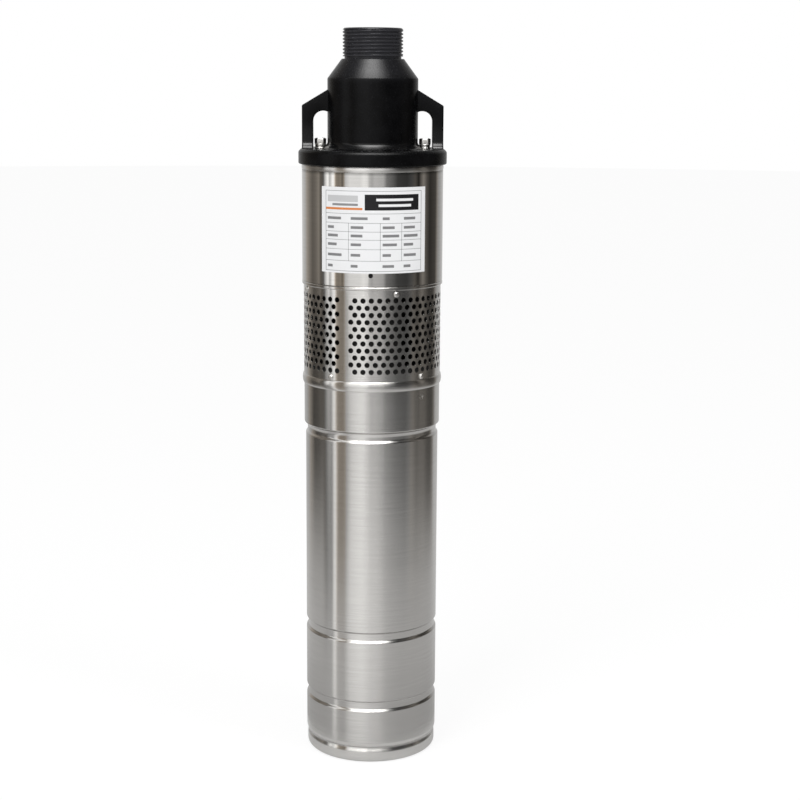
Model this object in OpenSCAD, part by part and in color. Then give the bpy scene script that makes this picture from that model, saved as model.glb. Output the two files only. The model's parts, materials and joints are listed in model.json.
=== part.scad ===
// Borehole submersible pump, 4 inch class: a multistage pump end on an oil-filled motor.
// Millimetres. +Z runs up the pump axis from the base, and -Y is the front.

/* [Lengths along the axis] */
// Visible skirt of the bottom cap
cap_skirt_h = 11; // [9:0.5:14]
// Motor shell, from the cap skirt to the intake flange
shell_len = 257; // [245:1:290]
// Intake flange that stands proud between the motor and the strainer
lip_h = 7; // [6:0.5:10]
// Strainer, from the intake flange to the sleeve
strainer_h = 65.5; // [63:0.5:72]
// Pump sleeve, from the strainer to the discharge plate
sleeve_len = 76; // [75:0.5:92]
// Rim of the discharge plate
plate_rim_h = 3.8; // [3:0.1:6]
// Discharge head, from its underside to the foot of the cone
head_body_h = 57.8; // [56:0.2:66]
// Cone under the outlet thread
cone_h = 13.3; // [11:0.1:18]
// Outlet thread
thread_len = 20.6; // [16:0.1:26]

/* [Outside diameters] */
// Flange of the discharge head
flange_d = 102.5; // [100:0.5:108]
// Rim of the discharge plate
plate_d = 98.2; // [97.4:0.1:101]
// Pump sleeve
sleeve_d = 97.8; // [96.6:0.1:99]
// Perforated strainer
strainer_d = 95.8; // [94:0.1:97]
// Intake flange
lip_d = 97.7; // [96.4:0.1:100]
// Upper section of the motor shell
shell_top_d = 95.4; // [94.6:0.1:96.4]
// Motor shell
shell_d = 93.5; // [92.4:0.1:94.4]
// Bottom cap
cap_d = 92.2; // [91:0.1:93]
// Round body of the discharge head
head_body_d = 62.3; // [58:0.1:63]
// Outlet thread over its crests, G 1 1/4
thread_d = 41.91; // [40:0.01:44]

/* [Sheet metal] */
// Wall of the pump sleeve
sleeve_wall = 1.2; // [1:0.1:1.4]
// Wall of the motor shell
shell_wall = 1.2; // [1:0.1:1.4]
// Wall of the strainer
strainer_wall = 0.9; // [0.7:0.1:1]
// Depth of a rolled groove
groove_depth = 1.3; // [1:0.1:1.5]
// Half the height of a rolled groove
groove_half_h = 4.2; // [3.6:0.1:4.6]
// Middle of the lowest groove above the base
low_groove_z = 42; // [38:0.5:48]
// Middle of the groove at the lower bearing housing above the base
mid_groove_z = 92.6; // [86:0.1:100]
// Middle of the upper groove below the top of the shell
top_groove_drop = 32; // [31:0.5:36]

/* [Strainer holes] */
// Diameter of a hole
hole_d = 3.6; // [3:0.1:3.8]
// Rows of holes
hole_rows = 11; // [9:1:11]
// Height from row to row
row_step = 4.88; // [4.6:0.01:4.9]
// Holes in a row
hole_columns = 52; // [48:1:53]
// Distance across the plain seam, between the nearest holes of a row
seam_w = 13.1; // [12.5:0.1:18]
// Direction of the plain seam, from +X about +Z
seam_angle = 246.3; // [220:0.1:260]

/* [Discharge head] */
// Height of the flange edge
flange_edge_h = 9.7; // [9:0.1:11]
// Rise of the flange top from its edge to the body
flange_rise = 4.2; // [4:0.1:5.4]
// Width over both ears
ear_span = 97.2; // [95:0.1:99]
// Thickness of an ear
ear_t = 10; // [8:0.5:14]
// Outer corner of an ear above the head's underside
ear_corner_h = 39.7; // [38:0.1:42]
// Top of an ear at the body, above the head's underside
ear_top_h = 50.2; // [48:0.1:53]
// Width of an ear's leg
ear_leg_w = 7.7; // [6:0.1:8]
// Radius of the arch under an ear
arch_r = 7; // [6.8:0.1:7.4]
// Top of the arch above the head's underside
arch_top_h = 36; // [34:0.1:37]
// Bore of the outlet
outlet_bore_d = 32.4; // [28:0.1:33]

/* [Check valve] */
// Bore of the valve chamber
chamber_d = 52; // [50:0.1:52.4]
// Water way through the valve seat
seat_bore_d = 30; // [28:0.1:31]
// Diameter of the poppet
poppet_d = 41; // [39:0.1:42]
// Lift of the poppet
valve_lift = 9; // [6:0.5:10]
// Turns of the valve spring
spring_turns = 5; // [4:1:6]

/* [Pump stages] */
// Outside diameter of an impeller
impeller_d = 72; // [66:0.5:73]
// Inlet eye of an impeller
eye_d = 29.2; // [27:0.1:30]
// Blades of an impeller
impeller_blades = 6; // [5:1:8]
// Return blades of a diffuser
diffuser_blades = 8; // [6:1:10]
// Size across the flats of the hexagonal pump shaft
shaft_flats = 10; // [9:0.1:10.4]

/* [Motor] */
// Length of the lamination stack
stack_len = 75; // [60:1:78]
// Bore of the stator
stator_bore_d = 50.8; // [48:0.1:52]
// Slots of the stator
stator_slots = 24; // [18:2:24]
// Bars of the rotor cage
rotor_bars = 18; // [14:1:20]
// Shaft at the seal and coupling
shaft_d = 14; // [13:0.1:14.4]
// Bore of the cable grommet
cable_d = 8; // [6:0.1:9]

/* [Clearances] */
// Room between two pieces that are fitted together
fit = 0.03; // [0.02:0.01:0.05]
// Radial room between a turning journal and its bush
running = 0.05; // [0.03:0.01:0.08]
// Room between a turning piece and a fixed one
air = 0.6; // [0.5:0.05:0.8]

/* [Hidden] */
$fn = 72;

// Levels from the base up
shell_z0 = cap_skirt_h;
shell_z1 = shell_z0 + shell_len;
lip_z1 = shell_z1 + lip_h;
strainer_z1 = lip_z1 + strainer_h;
sleeve_z1 = strainer_z1 + sleeve_len;
head_z0 = sleeve_z1 + plate_rim_h;
cone_z0 = head_z0 + head_body_h;
cone_z1 = cone_z0 + cone_h;
top_z = cone_z1 + thread_len;

// Radii of the outside
flange_r = flange_d / 2;
plate_r = plate_d / 2;
sleeve_r = sleeve_d / 2;
sleeve_in = sleeve_r - sleeve_wall;
strainer_r = strainer_d / 2;
strainer_in = strainer_r - strainer_wall;
lip_r = lip_d / 2;
shell_top_r = shell_top_d / 2;
shell_r = shell_d / 2;
shell_in = shell_r - shell_wall;
cap_r = cap_d / 2;
body_r = head_body_d / 2;
thread_r = thread_d / 2;

// Discharge head and its bolts
edge_round = 1.2;
foot_round = 1.5;
thread_depth = 1.48;
relief_h = 1.6;
ear_x = ear_span / 2;
arch_x = ear_x - ear_leg_w - arch_r;
bolt_x = (body_r + ear_x - ear_leg_w) / 2;
bolt_r = 1.8;
bolt_flats = 7;
bolt_head_h = 5;
bolt_collar_r = 3.9;
bolt_collar_t = 1;
bolt_depth = 11;
washer_r = 4;
washer_t = 1;
spring_washer_r = 3.6;
spring_washer_t = 1.2;
bevel_h = 1.5;
flat_rise = 0.8;
foot_w = 3.4;
spot_depth = 0.2;
spot_z = head_z0 + flange_edge_h + flat_rise - spot_depth;
spot_r = washer_r + 0.1;

// Check valve
chamber_r = chamber_d / 2;
seat_bore_r = seat_bore_d / 2;
seat_r = chamber_r + 3;
seat_flange_h = 5;
seat_lip_h = 1.5;
seat_lip_w = 4.5;
seat_z = head_z0 + seat_flange_h + seat_lip_h;
poppet_r = poppet_d / 2;
poppet_t = 3.7;
valve_seal_t = 2.5;
valve_seal_in = seat_bore_r - 4;
poppet_z = seat_z + valve_seal_t;
stem_r = 3.2;
stop_r = 5;
stop_gap = 0.3;
guide_h = 14;
guide_ring_h = 6;
guide_z1 = cone_z0 - 6;
guide_z0 = guide_z1 - guide_h;
guide_hub_r = 9;
guide_ring_w = 2.4;
guide_arm_w = 4;
stem_guide_gap = 0.08;
stem_top = guide_z1 - 4;
spring_wire_r = 0.8;
spring_r = 7;
spring_z0 = poppet_z + poppet_t;
stop_z = guide_z0 - valve_lift - stop_gap;

// Pump end
plate_spigot_h = 9.5;
rim_bulge = 0.45;
rim_steps = 10;
plate_way_r = 24;
plate_hub_r = 16;
plate_arm_w = 6;
o_ring_r = seat_r + 2;
o_ring_depth = 2;
bush_r = 12;
journal_r = 8.5;
nut_flats = 13;
nut_h = 4.5;
nut_thread_r = 4;
bracket_spigot_h = 14;
stage_z0 = strainer_z1 + bracket_spigot_h;
stage_z1 = sleeve_z1 - plate_spigot_h;
stages = 3;
stage_h = (stage_z1 - stage_z0) / stages;
cup_r = sleeve_in - 0.3;
cup_wall = 2.2;
cup_floor = 1.6;
impeller_r = impeller_d / 2;
eye_r = eye_d / 2;
neck_wall = 2.6;
shroud_t = 1.2;
blade_t = 1.6;
hub_r = 9.5;
diffuser_t = 1.4;
diffuser_z = stage_h * 0.62;
shroud_z = cup_floor + air;
impeller_h = diffuser_z - air - shroud_z;
hex_r = shaft_flats / 2 / cos(30);
collar_r = 9;
collar_h = 6;
hub_z0 = stage_z0 + shroud_z;
hub_z1 = hub_z0 + stages * stage_h;
bush_z0 = hub_z1 + 0.5;
bush_z1 = sleeve_z1 + plate_rim_h - 3;
nut_z0 = bush_z1 + air;
shaft_top = nut_z0 + nut_h;

// Intake
land_r = strainer_in - fit;
land_h = 8;
lip_bulge = 1;
lip_steps = 12;
lip_mid_z = (shell_z1 + lip_z1) / 2;
land_in = 36;
hem_r = strainer_r + 1.1;
hem_h = 2.8;
hem_edge = 0.9;
column_w = 40;
column_in = land_in + 1.5;
columns = [30, 150, 270];
suction_r = 30;
screw_r = 1.2;
screw_head_r = 1.9;
screw_head_h = 1.2;
screw_len = 8;
low_screw_z = lip_z1 + 2.2;
high_screw_z = strainer_z1 - 5.5;
rows_drop = 1.35;
low_screws = [234, 315, 54, 135];
high_screws = [290 : 90 : 560];
bracket_screw_pcr = 29;
bracket_screw_r = 3;
bracket_screw_flats = 10;
bracket_screw_head_h = 4;
bracket_screw_len = 12;
bracket_screws_at = [0, 180, 270];
slot_w = 13;
slot_h = 30;
slot_lift = 13;
sleeve_screw_r = 1.55;
sleeve_screws_at = [-91.3, 28.7, 148.7];
sleeve_screw_lift = 7.5;
sleeve_screw_len = 6;
sleeve_screw_z = strainer_z1 + sleeve_screw_lift;

// Motor
boss_r = 22;
boss_h = 5.5;
seal_seat_r = 13;
seal_seat_h = 5;
shaft_r = shaft_d / 2;
seal_z = shell_z1 + boss_h;
seal_face_h = 4;
bellows_h = 9.5;
bellows_folds = 4;
slinger_h = 6;
slinger_r = 19;
coupling_z0 = seal_z + seal_face_h + bellows_h + slinger_h + 1;
coupling_len = 36;
coupling_r = 11;
shaft_end = coupling_z0 + coupling_len / 2;
coupling_pin_r = 2;
coupling_pin_z = coupling_z0 + 8;
top_groove_z = shell_z1 - top_groove_drop;
housing_r = shell_top_r - shell_wall - fit;
housing_z0 = top_groove_z + groove_half_h + 0.2;
bearing_r = 17.5;
bearing_bore_r = 7.5;
bearing_w = 11;
bearing_pitch_r = 12.5;
ball_r = 2.95;
race_r = 3.05;
race_wall = 2.9;
balls = 8;
upper_bearing_z = shell_z1 - 23;
lower_bearing_z = mid_groove_z - 4.6;
shell_screw_z = shell_z1 - 5;
shell_screws_at = [-44.5, 135.5];
shell_screw_head_r = 1.9;
housing_seal_z = upper_bearing_z + 7;
seal_section_r = 1.4;
gland_pcr = 33;
gland_r = 8;
gland_flats = 16;
gland_hex_h = 6;
gland_nut_r = 9;
gland_nut_h = 12;
grommet_wall = 2.2;
lead_way_r = cable_d / 2 + grommet_wall / 2;
lower_housing_h = 17;
lower_housing_z = lower_bearing_z - 4;
stack_z0 = (lower_housing_z + lower_housing_h + housing_z0 - stack_len) / 2;
stack_z1 = stack_z0 + stack_len;
stack_r = shell_in - fit;
stator_bore_r = stator_bore_d / 2;
rotor_r = stator_bore_r - 0.4;
rotor_shaft_r = 10;
slot_r0 = stator_bore_r + 2.6;
slot_r1 = slot_r0 + 9.6;
winding_h = 20;
bar_r = 2.2;
bar_pcr = rotor_r - 4.5;
end_ring_h = 9;
cap_round = 3;
cap_spigot_z1 = low_groove_z - groove_half_h - 1.9;
cap_wall = 5;
cap_floor = 6;
curl_h = 3.5;
curl_depth = 1;
groove_floor_top = 0.55;
groove_floor_low = -0.45;
cap_seal_z = (shell_z0 + curl_h + cap_spigot_z1) / 2;
diaphragm_t = 1.8;
diaphragm_h = 30;
diaphragm_r = 38;
diaphragm_top_r = 24;

// Solid ring about the axis
module ring(r_in, r_out, z0, z1) {
    translate([0, 0, z0]) rotate_extrude() translate([r_in, 0]) square([r_out - r_in, z1 - z0]);
}

// Solid rod on the axis
module rod(r, z0, z1) {
    translate([0, 0, z0]) cylinder(r = r, h = z1 - z0);
}

// Solid turned from an outline of [radius, height] points
module turned(points) {
    rotate_extrude() polygon(points);
}

// Hexagonal rod on the axis, by the size across its flats
module hex_rod(flats, z0, z1) {
    translate([0, 0, z0]) cylinder(r = flats / 2 / cos(30), h = z1 - z0, $fn = 6);
}

// Copies about the axis
module around(angles) {
    for (angle = angles) rotate([0, 0, angle]) children();
}

// Rod that points outward along +X
module radial_rod(r, x0, x1, z) {
    translate([x0, 0, z]) rotate([0, 90, 0]) cylinder(r = r, h = x1 - x0, $fn = 32);
}

// Round-section ring, such as an O-ring
module round_ring(r_mid, r_section, z) {
    translate([0, 0, z]) rotate_extrude() translate([r_mid, 0]) circle(r = r_section, $fn = 32);
}

// Moulded head: thread, cone, body, flange and two lifting ears
module discharge_head() {
    color([0.07, 0.07, 0.075]) difference() {
        union() {
            turned([
                [0, head_z0], [flange_r - edge_round, head_z0], [flange_r, head_z0 + edge_round],
                [flange_r, head_z0 + flange_edge_h - bevel_h],
                [flange_r - edge_round, head_z0 + flange_edge_h],
                [flange_r - 2 * edge_round, head_z0 + flange_edge_h + flat_rise],
                [body_r + foot_w, head_z0 + flange_edge_h + flat_rise],
                [body_r + foot_round, head_z0 + flange_edge_h + flange_rise],
                [body_r, head_z0 + flange_edge_h + flange_rise + foot_round],
                [body_r, cone_z0 - edge_round], [body_r - edge_round, cone_z0],
                [thread_r + 0.3, cone_z1], [thread_r - thread_depth, cone_z1],
                [thread_r - thread_depth, cone_z1 + relief_h], [thread_r, cone_z1 + relief_h],
                [thread_r, top_z - thread_depth], [thread_r - thread_depth, top_z], [0, top_z]
            ]);
            lifting_ear();
            mirror([1, 0, 0]) lifting_ear();
        }
        turned([
            [0, head_z0 - 1], [seat_r + fit, head_z0 - 1], [seat_r + fit, head_z0 + seat_flange_h],
            [chamber_r, head_z0 + seat_flange_h], [chamber_r, guide_z1],
            [chamber_r - guide_ring_w, guide_z1], [outlet_bore_d / 2, cone_z0 + cone_h * 0.75],
            [outlet_bore_d / 2, top_z + 1], [0, top_z + 1]
        ]);
        for (x = [-bolt_x, bolt_x]) translate([x, 0, 0]) {
            rod(bolt_r + fit, head_z0 - 1, spot_z + 1);
            rod(spot_r, spot_z, spot_z + flange_rise + foot_round);
        }
    }
}

// Ear plate on the +X side, with its rope arch
module lifting_ear() {
    ear_z0 = head_z0 + flange_edge_h - 4;
    arch_z = head_z0 + arch_top_h - arch_r;
    rotate([90, 0, 0]) translate([0, 0, -ear_t / 2]) linear_extrude(ear_t) difference() {
        polygon([
            [body_r - 3, ear_z0], [ear_x, ear_z0], [ear_x, head_z0 + ear_corner_h],
            [body_r - 3, head_z0 + ear_top_h + 1.8]
        ]);
        translate([arch_x, arch_z]) circle(r = arch_r);
        translate([arch_x - arch_r, ear_z0 - 1]) square([2 * arch_r, arch_z - ear_z0 + 1]);
    }
}

module head_bolts() {
    head_z = spot_z + washer_t + spring_washer_t;
    color([0.75, 0.74, 0.72]) for (x = [-bolt_x, bolt_x]) translate([x, 0, 0]) {
        intersection() {
            hex_rod(bolt_flats, head_z, head_z + bolt_head_h);
            translate([0, 0, head_z])
                cylinder(r1 = bolt_flats * 1.2, r2 = bolt_flats / 2 - 0.2, h = bolt_head_h * 1.001);
        }
        rod(bolt_collar_r, head_z, head_z + bolt_collar_t);
        rod(bolt_r, head_z0 - bolt_depth, head_z);
    }
}

module head_washers() {
    color([0.8, 0.79, 0.77]) for (x = [-bolt_x, bolt_x]) translate([x, 0, 0]) {
        ring(bolt_r + fit, washer_r, spot_z, spot_z + washer_t);
        difference() {
            ring(bolt_r + fit, spring_washer_r, spot_z + washer_t, spot_z + washer_t + spring_washer_t);
            translate([bolt_r, -0.4, spot_z]) cube([washer_r, 0.8, 5]);
        }
    }
}

module head_o_ring() {
    color([0.1, 0.1, 0.1])
        round_ring(o_ring_r, o_ring_depth / 2 - fit / 2, head_z0 - o_ring_depth / 2);
}

// Insert that the poppet closes on
module valve_seat() {
    color([0.72, 0.62, 0.35]) turned([
        [seat_bore_r, head_z0], [seat_r, head_z0], [seat_r, head_z0 + seat_flange_h],
        [seat_bore_r + seat_lip_w, head_z0 + seat_flange_h], [seat_bore_r + seat_lip_w, seat_z],
        [seat_bore_r, seat_z]
    ]);
}

module valve_poppet() {
    color([0.85, 0.84, 0.8]) turned([
        [0, seat_z - 1], [valve_seal_in - fit - 1, seat_z - 1], [valve_seal_in - fit, seat_z],
        [valve_seal_in - fit, poppet_z], [poppet_r, poppet_z], [poppet_r, poppet_z + 1.5],
        [poppet_r - 2, spring_z0], [stop_r, spring_z0], [stop_r, stop_z], [stem_r, stop_z],
        [stem_r, stem_top - 1], [stem_r - 1, stem_top], [0, stem_top]
    ]);
}

module valve_seal() {
    color([0.12, 0.12, 0.12]) ring(valve_seal_in, poppet_r, seat_z, poppet_z);
}

// Round wire on a helix, as rings of points joined by quads
module valve_spring() {
    sides = 8;
    steps = 16 * spring_turns;
    rise = guide_z0 - spring_z0 - 2 * spring_wire_r;
    points = [
        for (i = [0 : steps]) let (turn = 360 * spring_turns * i / steps)
            for (k = [0 : sides - 1]) let (r = spring_r + spring_wire_r * cos(360 * k / sides))
                [
                    r * cos(turn), r * sin(turn),
                    spring_z0 + spring_wire_r + rise * i / steps + spring_wire_r * sin(360 * k / sides)
                ]
    ];
    walls = [
        for (i = [0 : steps - 1]) for (k = [0 : sides - 1]) let (n = (k + 1) % sides)
            [i * sides + k, (i + 1) * sides + k, (i + 1) * sides + n, i * sides + n]
    ];
    start = [for (k = [0 : sides - 1]) k];
    end = [for (k = [sides - 1 : -1 : 0]) steps * sides + k];
    color([0.7, 0.7, 0.7]) polyhedron(points, concat(walls, [start, end]), convexity = 10);
}

// Spider that keeps the poppet stem on the axis
module valve_guide() {
    color([0.15, 0.15, 0.16]) difference() {
        union() {
            ring(chamber_r - guide_ring_w - 0.4, chamber_r - fit, guide_z1 - guide_ring_h, guide_z1);
            rod(guide_hub_r, guide_z0, guide_z1);
            around([30, 150, 270]) translate([0, -guide_arm_w / 2, guide_z1 - guide_ring_h])
                cube([chamber_r - guide_ring_w, guide_arm_w, guide_ring_h]);
        }
        rod(stem_r + stem_guide_gap, guide_z0 - 1, guide_z1 + 1);
    }
}

// Plate that closes the sleeve, carries the head and holds the top bush
module discharge_plate() {
    color([0.74, 0.72, 0.69]) difference() {
        union() {
            turned(concat(
                [[plate_way_r, sleeve_z1]],
                [for (i = [0 : rim_steps]) [
                    plate_r - rim_bulge * pow(2 * i / rim_steps - 1, 2),
                    sleeve_z1 + plate_rim_h * i / rim_steps
                ]],
                [[plate_way_r, head_z0]]
            ));
            ring(plate_way_r, sleeve_in - fit, stage_z1, sleeve_z1);
            ring(bush_r + fit, plate_hub_r, bush_z0, bush_z1);
            around([90, 210, 330]) translate([bush_r + 1, -plate_arm_w / 2, bush_z0])
                cube([plate_way_r - bush_r, plate_arm_w, bush_z1 - bush_z0]);
        }
        ring(o_ring_r - o_ring_depth / 2 - 0.2, o_ring_r + o_ring_depth / 2 + 0.2, head_z0 - o_ring_depth, head_z0 + 1);
        for (x = [-bolt_x, bolt_x]) translate([x, 0, 0]) rod(bolt_r + fit, head_z0 - bolt_depth - 1, head_z0 + 1);
    }
}

module top_bush() {
    color([0.2, 0.2, 0.2]) ring(journal_r + running, bush_r, bush_z0, bush_z1);
}

module journal_sleeve() {
    color([0.8, 0.8, 0.8]) difference() {
        rod(journal_r, hub_z1, nut_z0);
        hex_rod(shaft_flats + 2 * fit, hub_z1 - 1, nut_z0 + 1);
    }
}

module shaft_nut() {
    color([0.8, 0.8, 0.8]) difference() {
        hex_rod(nut_flats, nut_z0, shaft_top - 0.5);
        rod(nut_thread_r + fit, nut_z0 - 1, shaft_top + 1);
    }
}

module pump_sleeve() {
    color([0.72, 0.71, 0.69]) difference() {
        ring(sleeve_in, sleeve_r, strainer_z1, sleeve_z1);
        around(sleeve_screws_at)
            radial_rod(sleeve_screw_r + fit, sleeve_in - 2, sleeve_r + 2, sleeve_screw_z);
    }
}

// Slotted grub screws that lock the sleeve to the intake bracket
module sleeve_screws() {
    slot = 0.5;
    end_r = sleeve_r - 0.4;
    color([0.3, 0.3, 0.3]) around(sleeve_screws_at) difference() {
        radial_rod(sleeve_screw_r, sleeve_in - sleeve_screw_len, end_r, sleeve_screw_z);
        translate([end_r - 0.8, -sleeve_screw_r - 1, sleeve_screw_z - slot / 2])
            cube([2, 2 * sleeve_screw_r + 2, slot]);
    }
}

// One curved blade: an arc of a round wall, cut to the ring between two radii
module blade(r_in, r_out, thickness) {
    bend_r = r_out * 0.62;
    intersection() {
        difference() {
            circle(r = r_out);
            circle(r = r_in);
        }
        translate([(r_in + r_out) * 0.42, -bend_r * 0.72]) difference() {
            circle(r = bend_r);
            circle(r = bend_r - thickness);
        }
        translate([0, -bend_r * 0.35]) square([r_out * 2, r_out]);
    }
}

module stage_cup(index) {
    z0 = stage_z0 + index * stage_h;
    color([0.6, 0.6, 0.58]) {
        difference() {
            rod(cup_r, z0, z0 + stage_h);
            rod(cup_r - cup_wall, z0 + cup_floor, z0 + stage_h + 1);
            rod(eye_r + neck_wall + air / 2, z0 - 1, z0 + stage_h);
        }
    }
}

module impeller(index) {
    z0 = stage_z0 + index * stage_h;
    top = shroud_z + impeller_h;
    color([0.2, 0.35, 0.5]) translate([0, 0, z0]) difference() {
        union() {
            ring(eye_r, eye_r + neck_wall, air / 2, shroud_z + shroud_t);
            ring(eye_r, impeller_r, shroud_z, shroud_z + shroud_t);
            ring(hub_r - 1, impeller_r, top - shroud_t, top);
            rod(hub_r, shroud_z, shroud_z + stage_h);
            translate([0, 0, shroud_z + shroud_t / 2])
                linear_extrude(impeller_h - shroud_t)
                    around([0 : 360 / impeller_blades : 359]) blade(eye_r + 1, impeller_r, blade_t);
        }
        hex_rod(shaft_flats + 2 * fit, 0, stage_h + shroud_z + 1);
    }
}

module diffuser(index) {
    z0 = stage_z0 + index * stage_h;
    post_in = impeller_r + 2.5;
    post_out = cup_r - cup_wall - fit;
    color([0.85, 0.83, 0.76]) translate([0, 0, z0]) {
        ring(hub_r + air, post_in + 1, diffuser_z, diffuser_z + diffuser_t);
        translate([0, 0, diffuser_z + diffuser_t / 2])
            linear_extrude(stage_h - diffuser_z - diffuser_t / 2)
                around([0 : 360 / diffuser_blades : 359]) mirror([0, 1]) blade(hub_r + 6, post_in, blade_t);
        around([0 : 360 / diffuser_blades : 359]) intersection() {
            ring(post_in, post_out, cup_floor, stage_h);
            translate([0, -2, 0]) cube([post_out + 5, 4, stage_h + 1]);
        }
    }
}

// Hexagonal shaft with a collar under the impellers and a threaded top
module pump_shaft() {
    color([0.8, 0.8, 0.8]) {
        hex_rod(shaft_flats, shaft_end + 0.5, nut_z0);
        rod(collar_r, hub_z0 - collar_h, hub_z0);
        rod(nut_thread_r, nut_z0 - 1, shaft_top);
    }
}

// Lantern between the motor and the pump end
module intake_bracket() {
    color([0.55, 0.55, 0.54]) difference() {
        union() {
            turned(concat(
                [[boss_r + fit, shell_z1]],
                [for (i = [0 : lip_steps]) let (a = 180 * i / lip_steps - 90)
                    [lip_r - lip_bulge * (1 - cos(a)), lip_mid_z + lip_h / 2 * sin(a)]],
                [[boss_r + fit, lip_z1]]
            ));
            ring(land_in, land_r, lip_z1, lip_z1 + land_h);
            around(columns) intersection() {
                ring(column_in, land_r - 1, lip_z1 + land_h / 2, strainer_z1 - land_h / 2);
                translate([0, -column_w / 2, lip_z1]) cube([lip_r, column_w, strainer_h]);
            }
            ring(suction_r, land_r, strainer_z1 - land_h, strainer_z1);
            ring(suction_r, sleeve_in - fit, strainer_z1, stage_z0);
        }
        around(low_screws)
            radial_rod(screw_r + fit, strainer_in - screw_len, lip_r + 1, low_screw_z);
        around(high_screws)
            radial_rod(screw_r + fit, strainer_in - screw_len, lip_r + 1, high_screw_z);
        around(sleeve_screws_at)
            radial_rod(sleeve_screw_r + fit, sleeve_in - sleeve_screw_len, sleeve_r + 1, sleeve_screw_z);
        around(bracket_screws_at) translate([bracket_screw_pcr, 0, 0])
            rod(bracket_screw_r + fit, shell_z1 - 1, lip_z1 + 1);
        translate([0, gland_pcr, 0]) rod(gland_nut_r + 1, shell_z1 - 1, lip_z1 + land_h + 1);
    }
}

module bracket_screws() {
    color([0.75, 0.75, 0.75]) around(bracket_screws_at) translate([bracket_screw_pcr, 0, 0]) {
        hex_rod(bracket_screw_flats, lip_z1, lip_z1 + bracket_screw_head_h);
        rod(bracket_screw_r, lip_z1 - lip_h - bracket_screw_len, lip_z1 + 1);
    }
}

// Perforated sheet with a plain seam, a hem at the top and a cable slot at the back
module strainer() {
    middle_z = (lip_z1 + strainer_z1) / 2 - rows_drop;
    slot_z = lip_z1 + slot_lift + slot_h / 2;
    pitch = (360 - seam_w / strainer_r * 180 / PI) / (hole_columns - 1);
    slot_half_angle = asin((slot_w / 2 + hole_d) / strainer_r);
    color([0.72, 0.71, 0.68]) difference() {
        union() {
            ring(strainer_in, strainer_r, lip_z1, strainer_z1);
            turned([
                [strainer_in, strainer_z1 - hem_h], [hem_r - hem_edge / 2, strainer_z1 - hem_h],
                [hem_r, strainer_z1 - hem_h + hem_edge / 2], [hem_r, strainer_z1 - hem_edge],
                [hem_r - hem_edge, strainer_z1], [strainer_in, strainer_z1]
            ]);
        }
        for (row = [0 : hole_rows - 1]) for (column = [0 : hole_columns - 1])
            let (
                z = middle_z + (row - (hole_rows - 1) / 2) * row_step,
                stagger = 0.25 - (row % 2) / 2,
                angle = seam_angle + 180 + (column - (hole_columns - 1) / 2 + stagger) * pitch,
                off_slot = abs((angle - 90 + 180) % 360 - 180)
            )
            if (off_slot > slot_half_angle || abs(z - slot_z) > slot_h / 2 + hole_d)
                rotate([0, 0, angle]) radial_rod(hole_d / 2, strainer_in - 1, hem_r + 1, z);
        translate([0, strainer_r + 5, 0]) rotate([90, 0, 0]) {
            translate([0, slot_z, 0]) linear_extrude(10) {
                square([slot_w, slot_h - slot_w], center = true);
                for (y = [-1, 1]) translate([0, y * (slot_h - slot_w) / 2]) circle(d = slot_w);
            }
        }
        around(low_screws)
            radial_rod(screw_r + fit, strainer_in - 1, hem_r + 1, low_screw_z);
        around(high_screws)
            radial_rod(screw_r + fit, strainer_in - 1, hem_r + 1, high_screw_z);
    }
}

// One pan-head screw whose head sits on the radius x
module pan_screw(x, z) {
    translate([x + fit, 0, z]) rotate([0, 90, 0]) {
        turned([
            [0, -screw_len + 1], [screw_r, -screw_len + 1], [screw_r, 0], [screw_head_r, 0],
            [screw_head_r, screw_head_h * 0.4], [screw_head_r * 0.7, screw_head_h * 0.88],
            [screw_head_r * 0.3, screw_head_h], [0, screw_head_h]
        ]);
    }
}

module strainer_screws() {
    color([0.8, 0.79, 0.77]) {
        around(low_screws) pan_screw(strainer_r, low_screw_z);
        around(high_screws) pan_screw(strainer_r, high_screw_z);
    }
}

module coupling() {
    color([0.7, 0.7, 0.7]) difference() {
        rod(coupling_r, coupling_z0, coupling_z0 + coupling_len);
        rod(shaft_r + fit, coupling_z0 - 1, shaft_end + 0.5);
        hex_rod(shaft_flats + 2 * fit, shaft_end, coupling_z0 + coupling_len + 1);
        radial_rod(coupling_pin_r + fit, -coupling_r - 1, coupling_r + 1, coupling_pin_z);
    }
}

module coupling_pin() {
    color([0.6, 0.6, 0.6])
        radial_rod(coupling_pin_r, -coupling_r + 0.5, coupling_r - 0.5, coupling_pin_z);
}

// Rubber disc that throws sand off the shaft
module sand_slinger() {
    z0 = seal_z + seal_face_h + bellows_h;
    color([0.1, 0.1, 0.1]) turned([
        [shaft_r + fit, z0], [coupling_r, z0], [slinger_r, z0 + 0.5], [slinger_r, z0 + 2],
        [coupling_r, z0 + slinger_h], [shaft_r + fit, z0 + slinger_h]
    ]);
}

module seal_seat() {
    color([0.9, 0.9, 0.88]) ring(shaft_r + air * 2, seal_seat_r, seal_z - seal_seat_h, seal_z);
}

module seal_face() {
    color([0.15, 0.15, 0.15]) ring(shaft_r + fit, seal_seat_r - 1.5, seal_z, seal_z + seal_face_h);
}

// Folded rubber sleeve that presses the seal face down
module seal_bellows() {
    z0 = seal_z + seal_face_h;
    fold = bellows_h / bellows_folds;
    outer = seal_seat_r - 2;
    folds = [for (i = [bellows_folds - 1 : -1 : 0]) each
        [[outer - 1.5, z0 + (i + 1) * fold], [outer, z0 + (i + 0.5) * fold]]];
    color([0.12, 0.12, 0.13]) turned(concat(
        [[shaft_r + fit, z0], [shaft_r + fit, z0 + bellows_h]], folds, [[outer - 1.5, z0]]));
}

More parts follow.
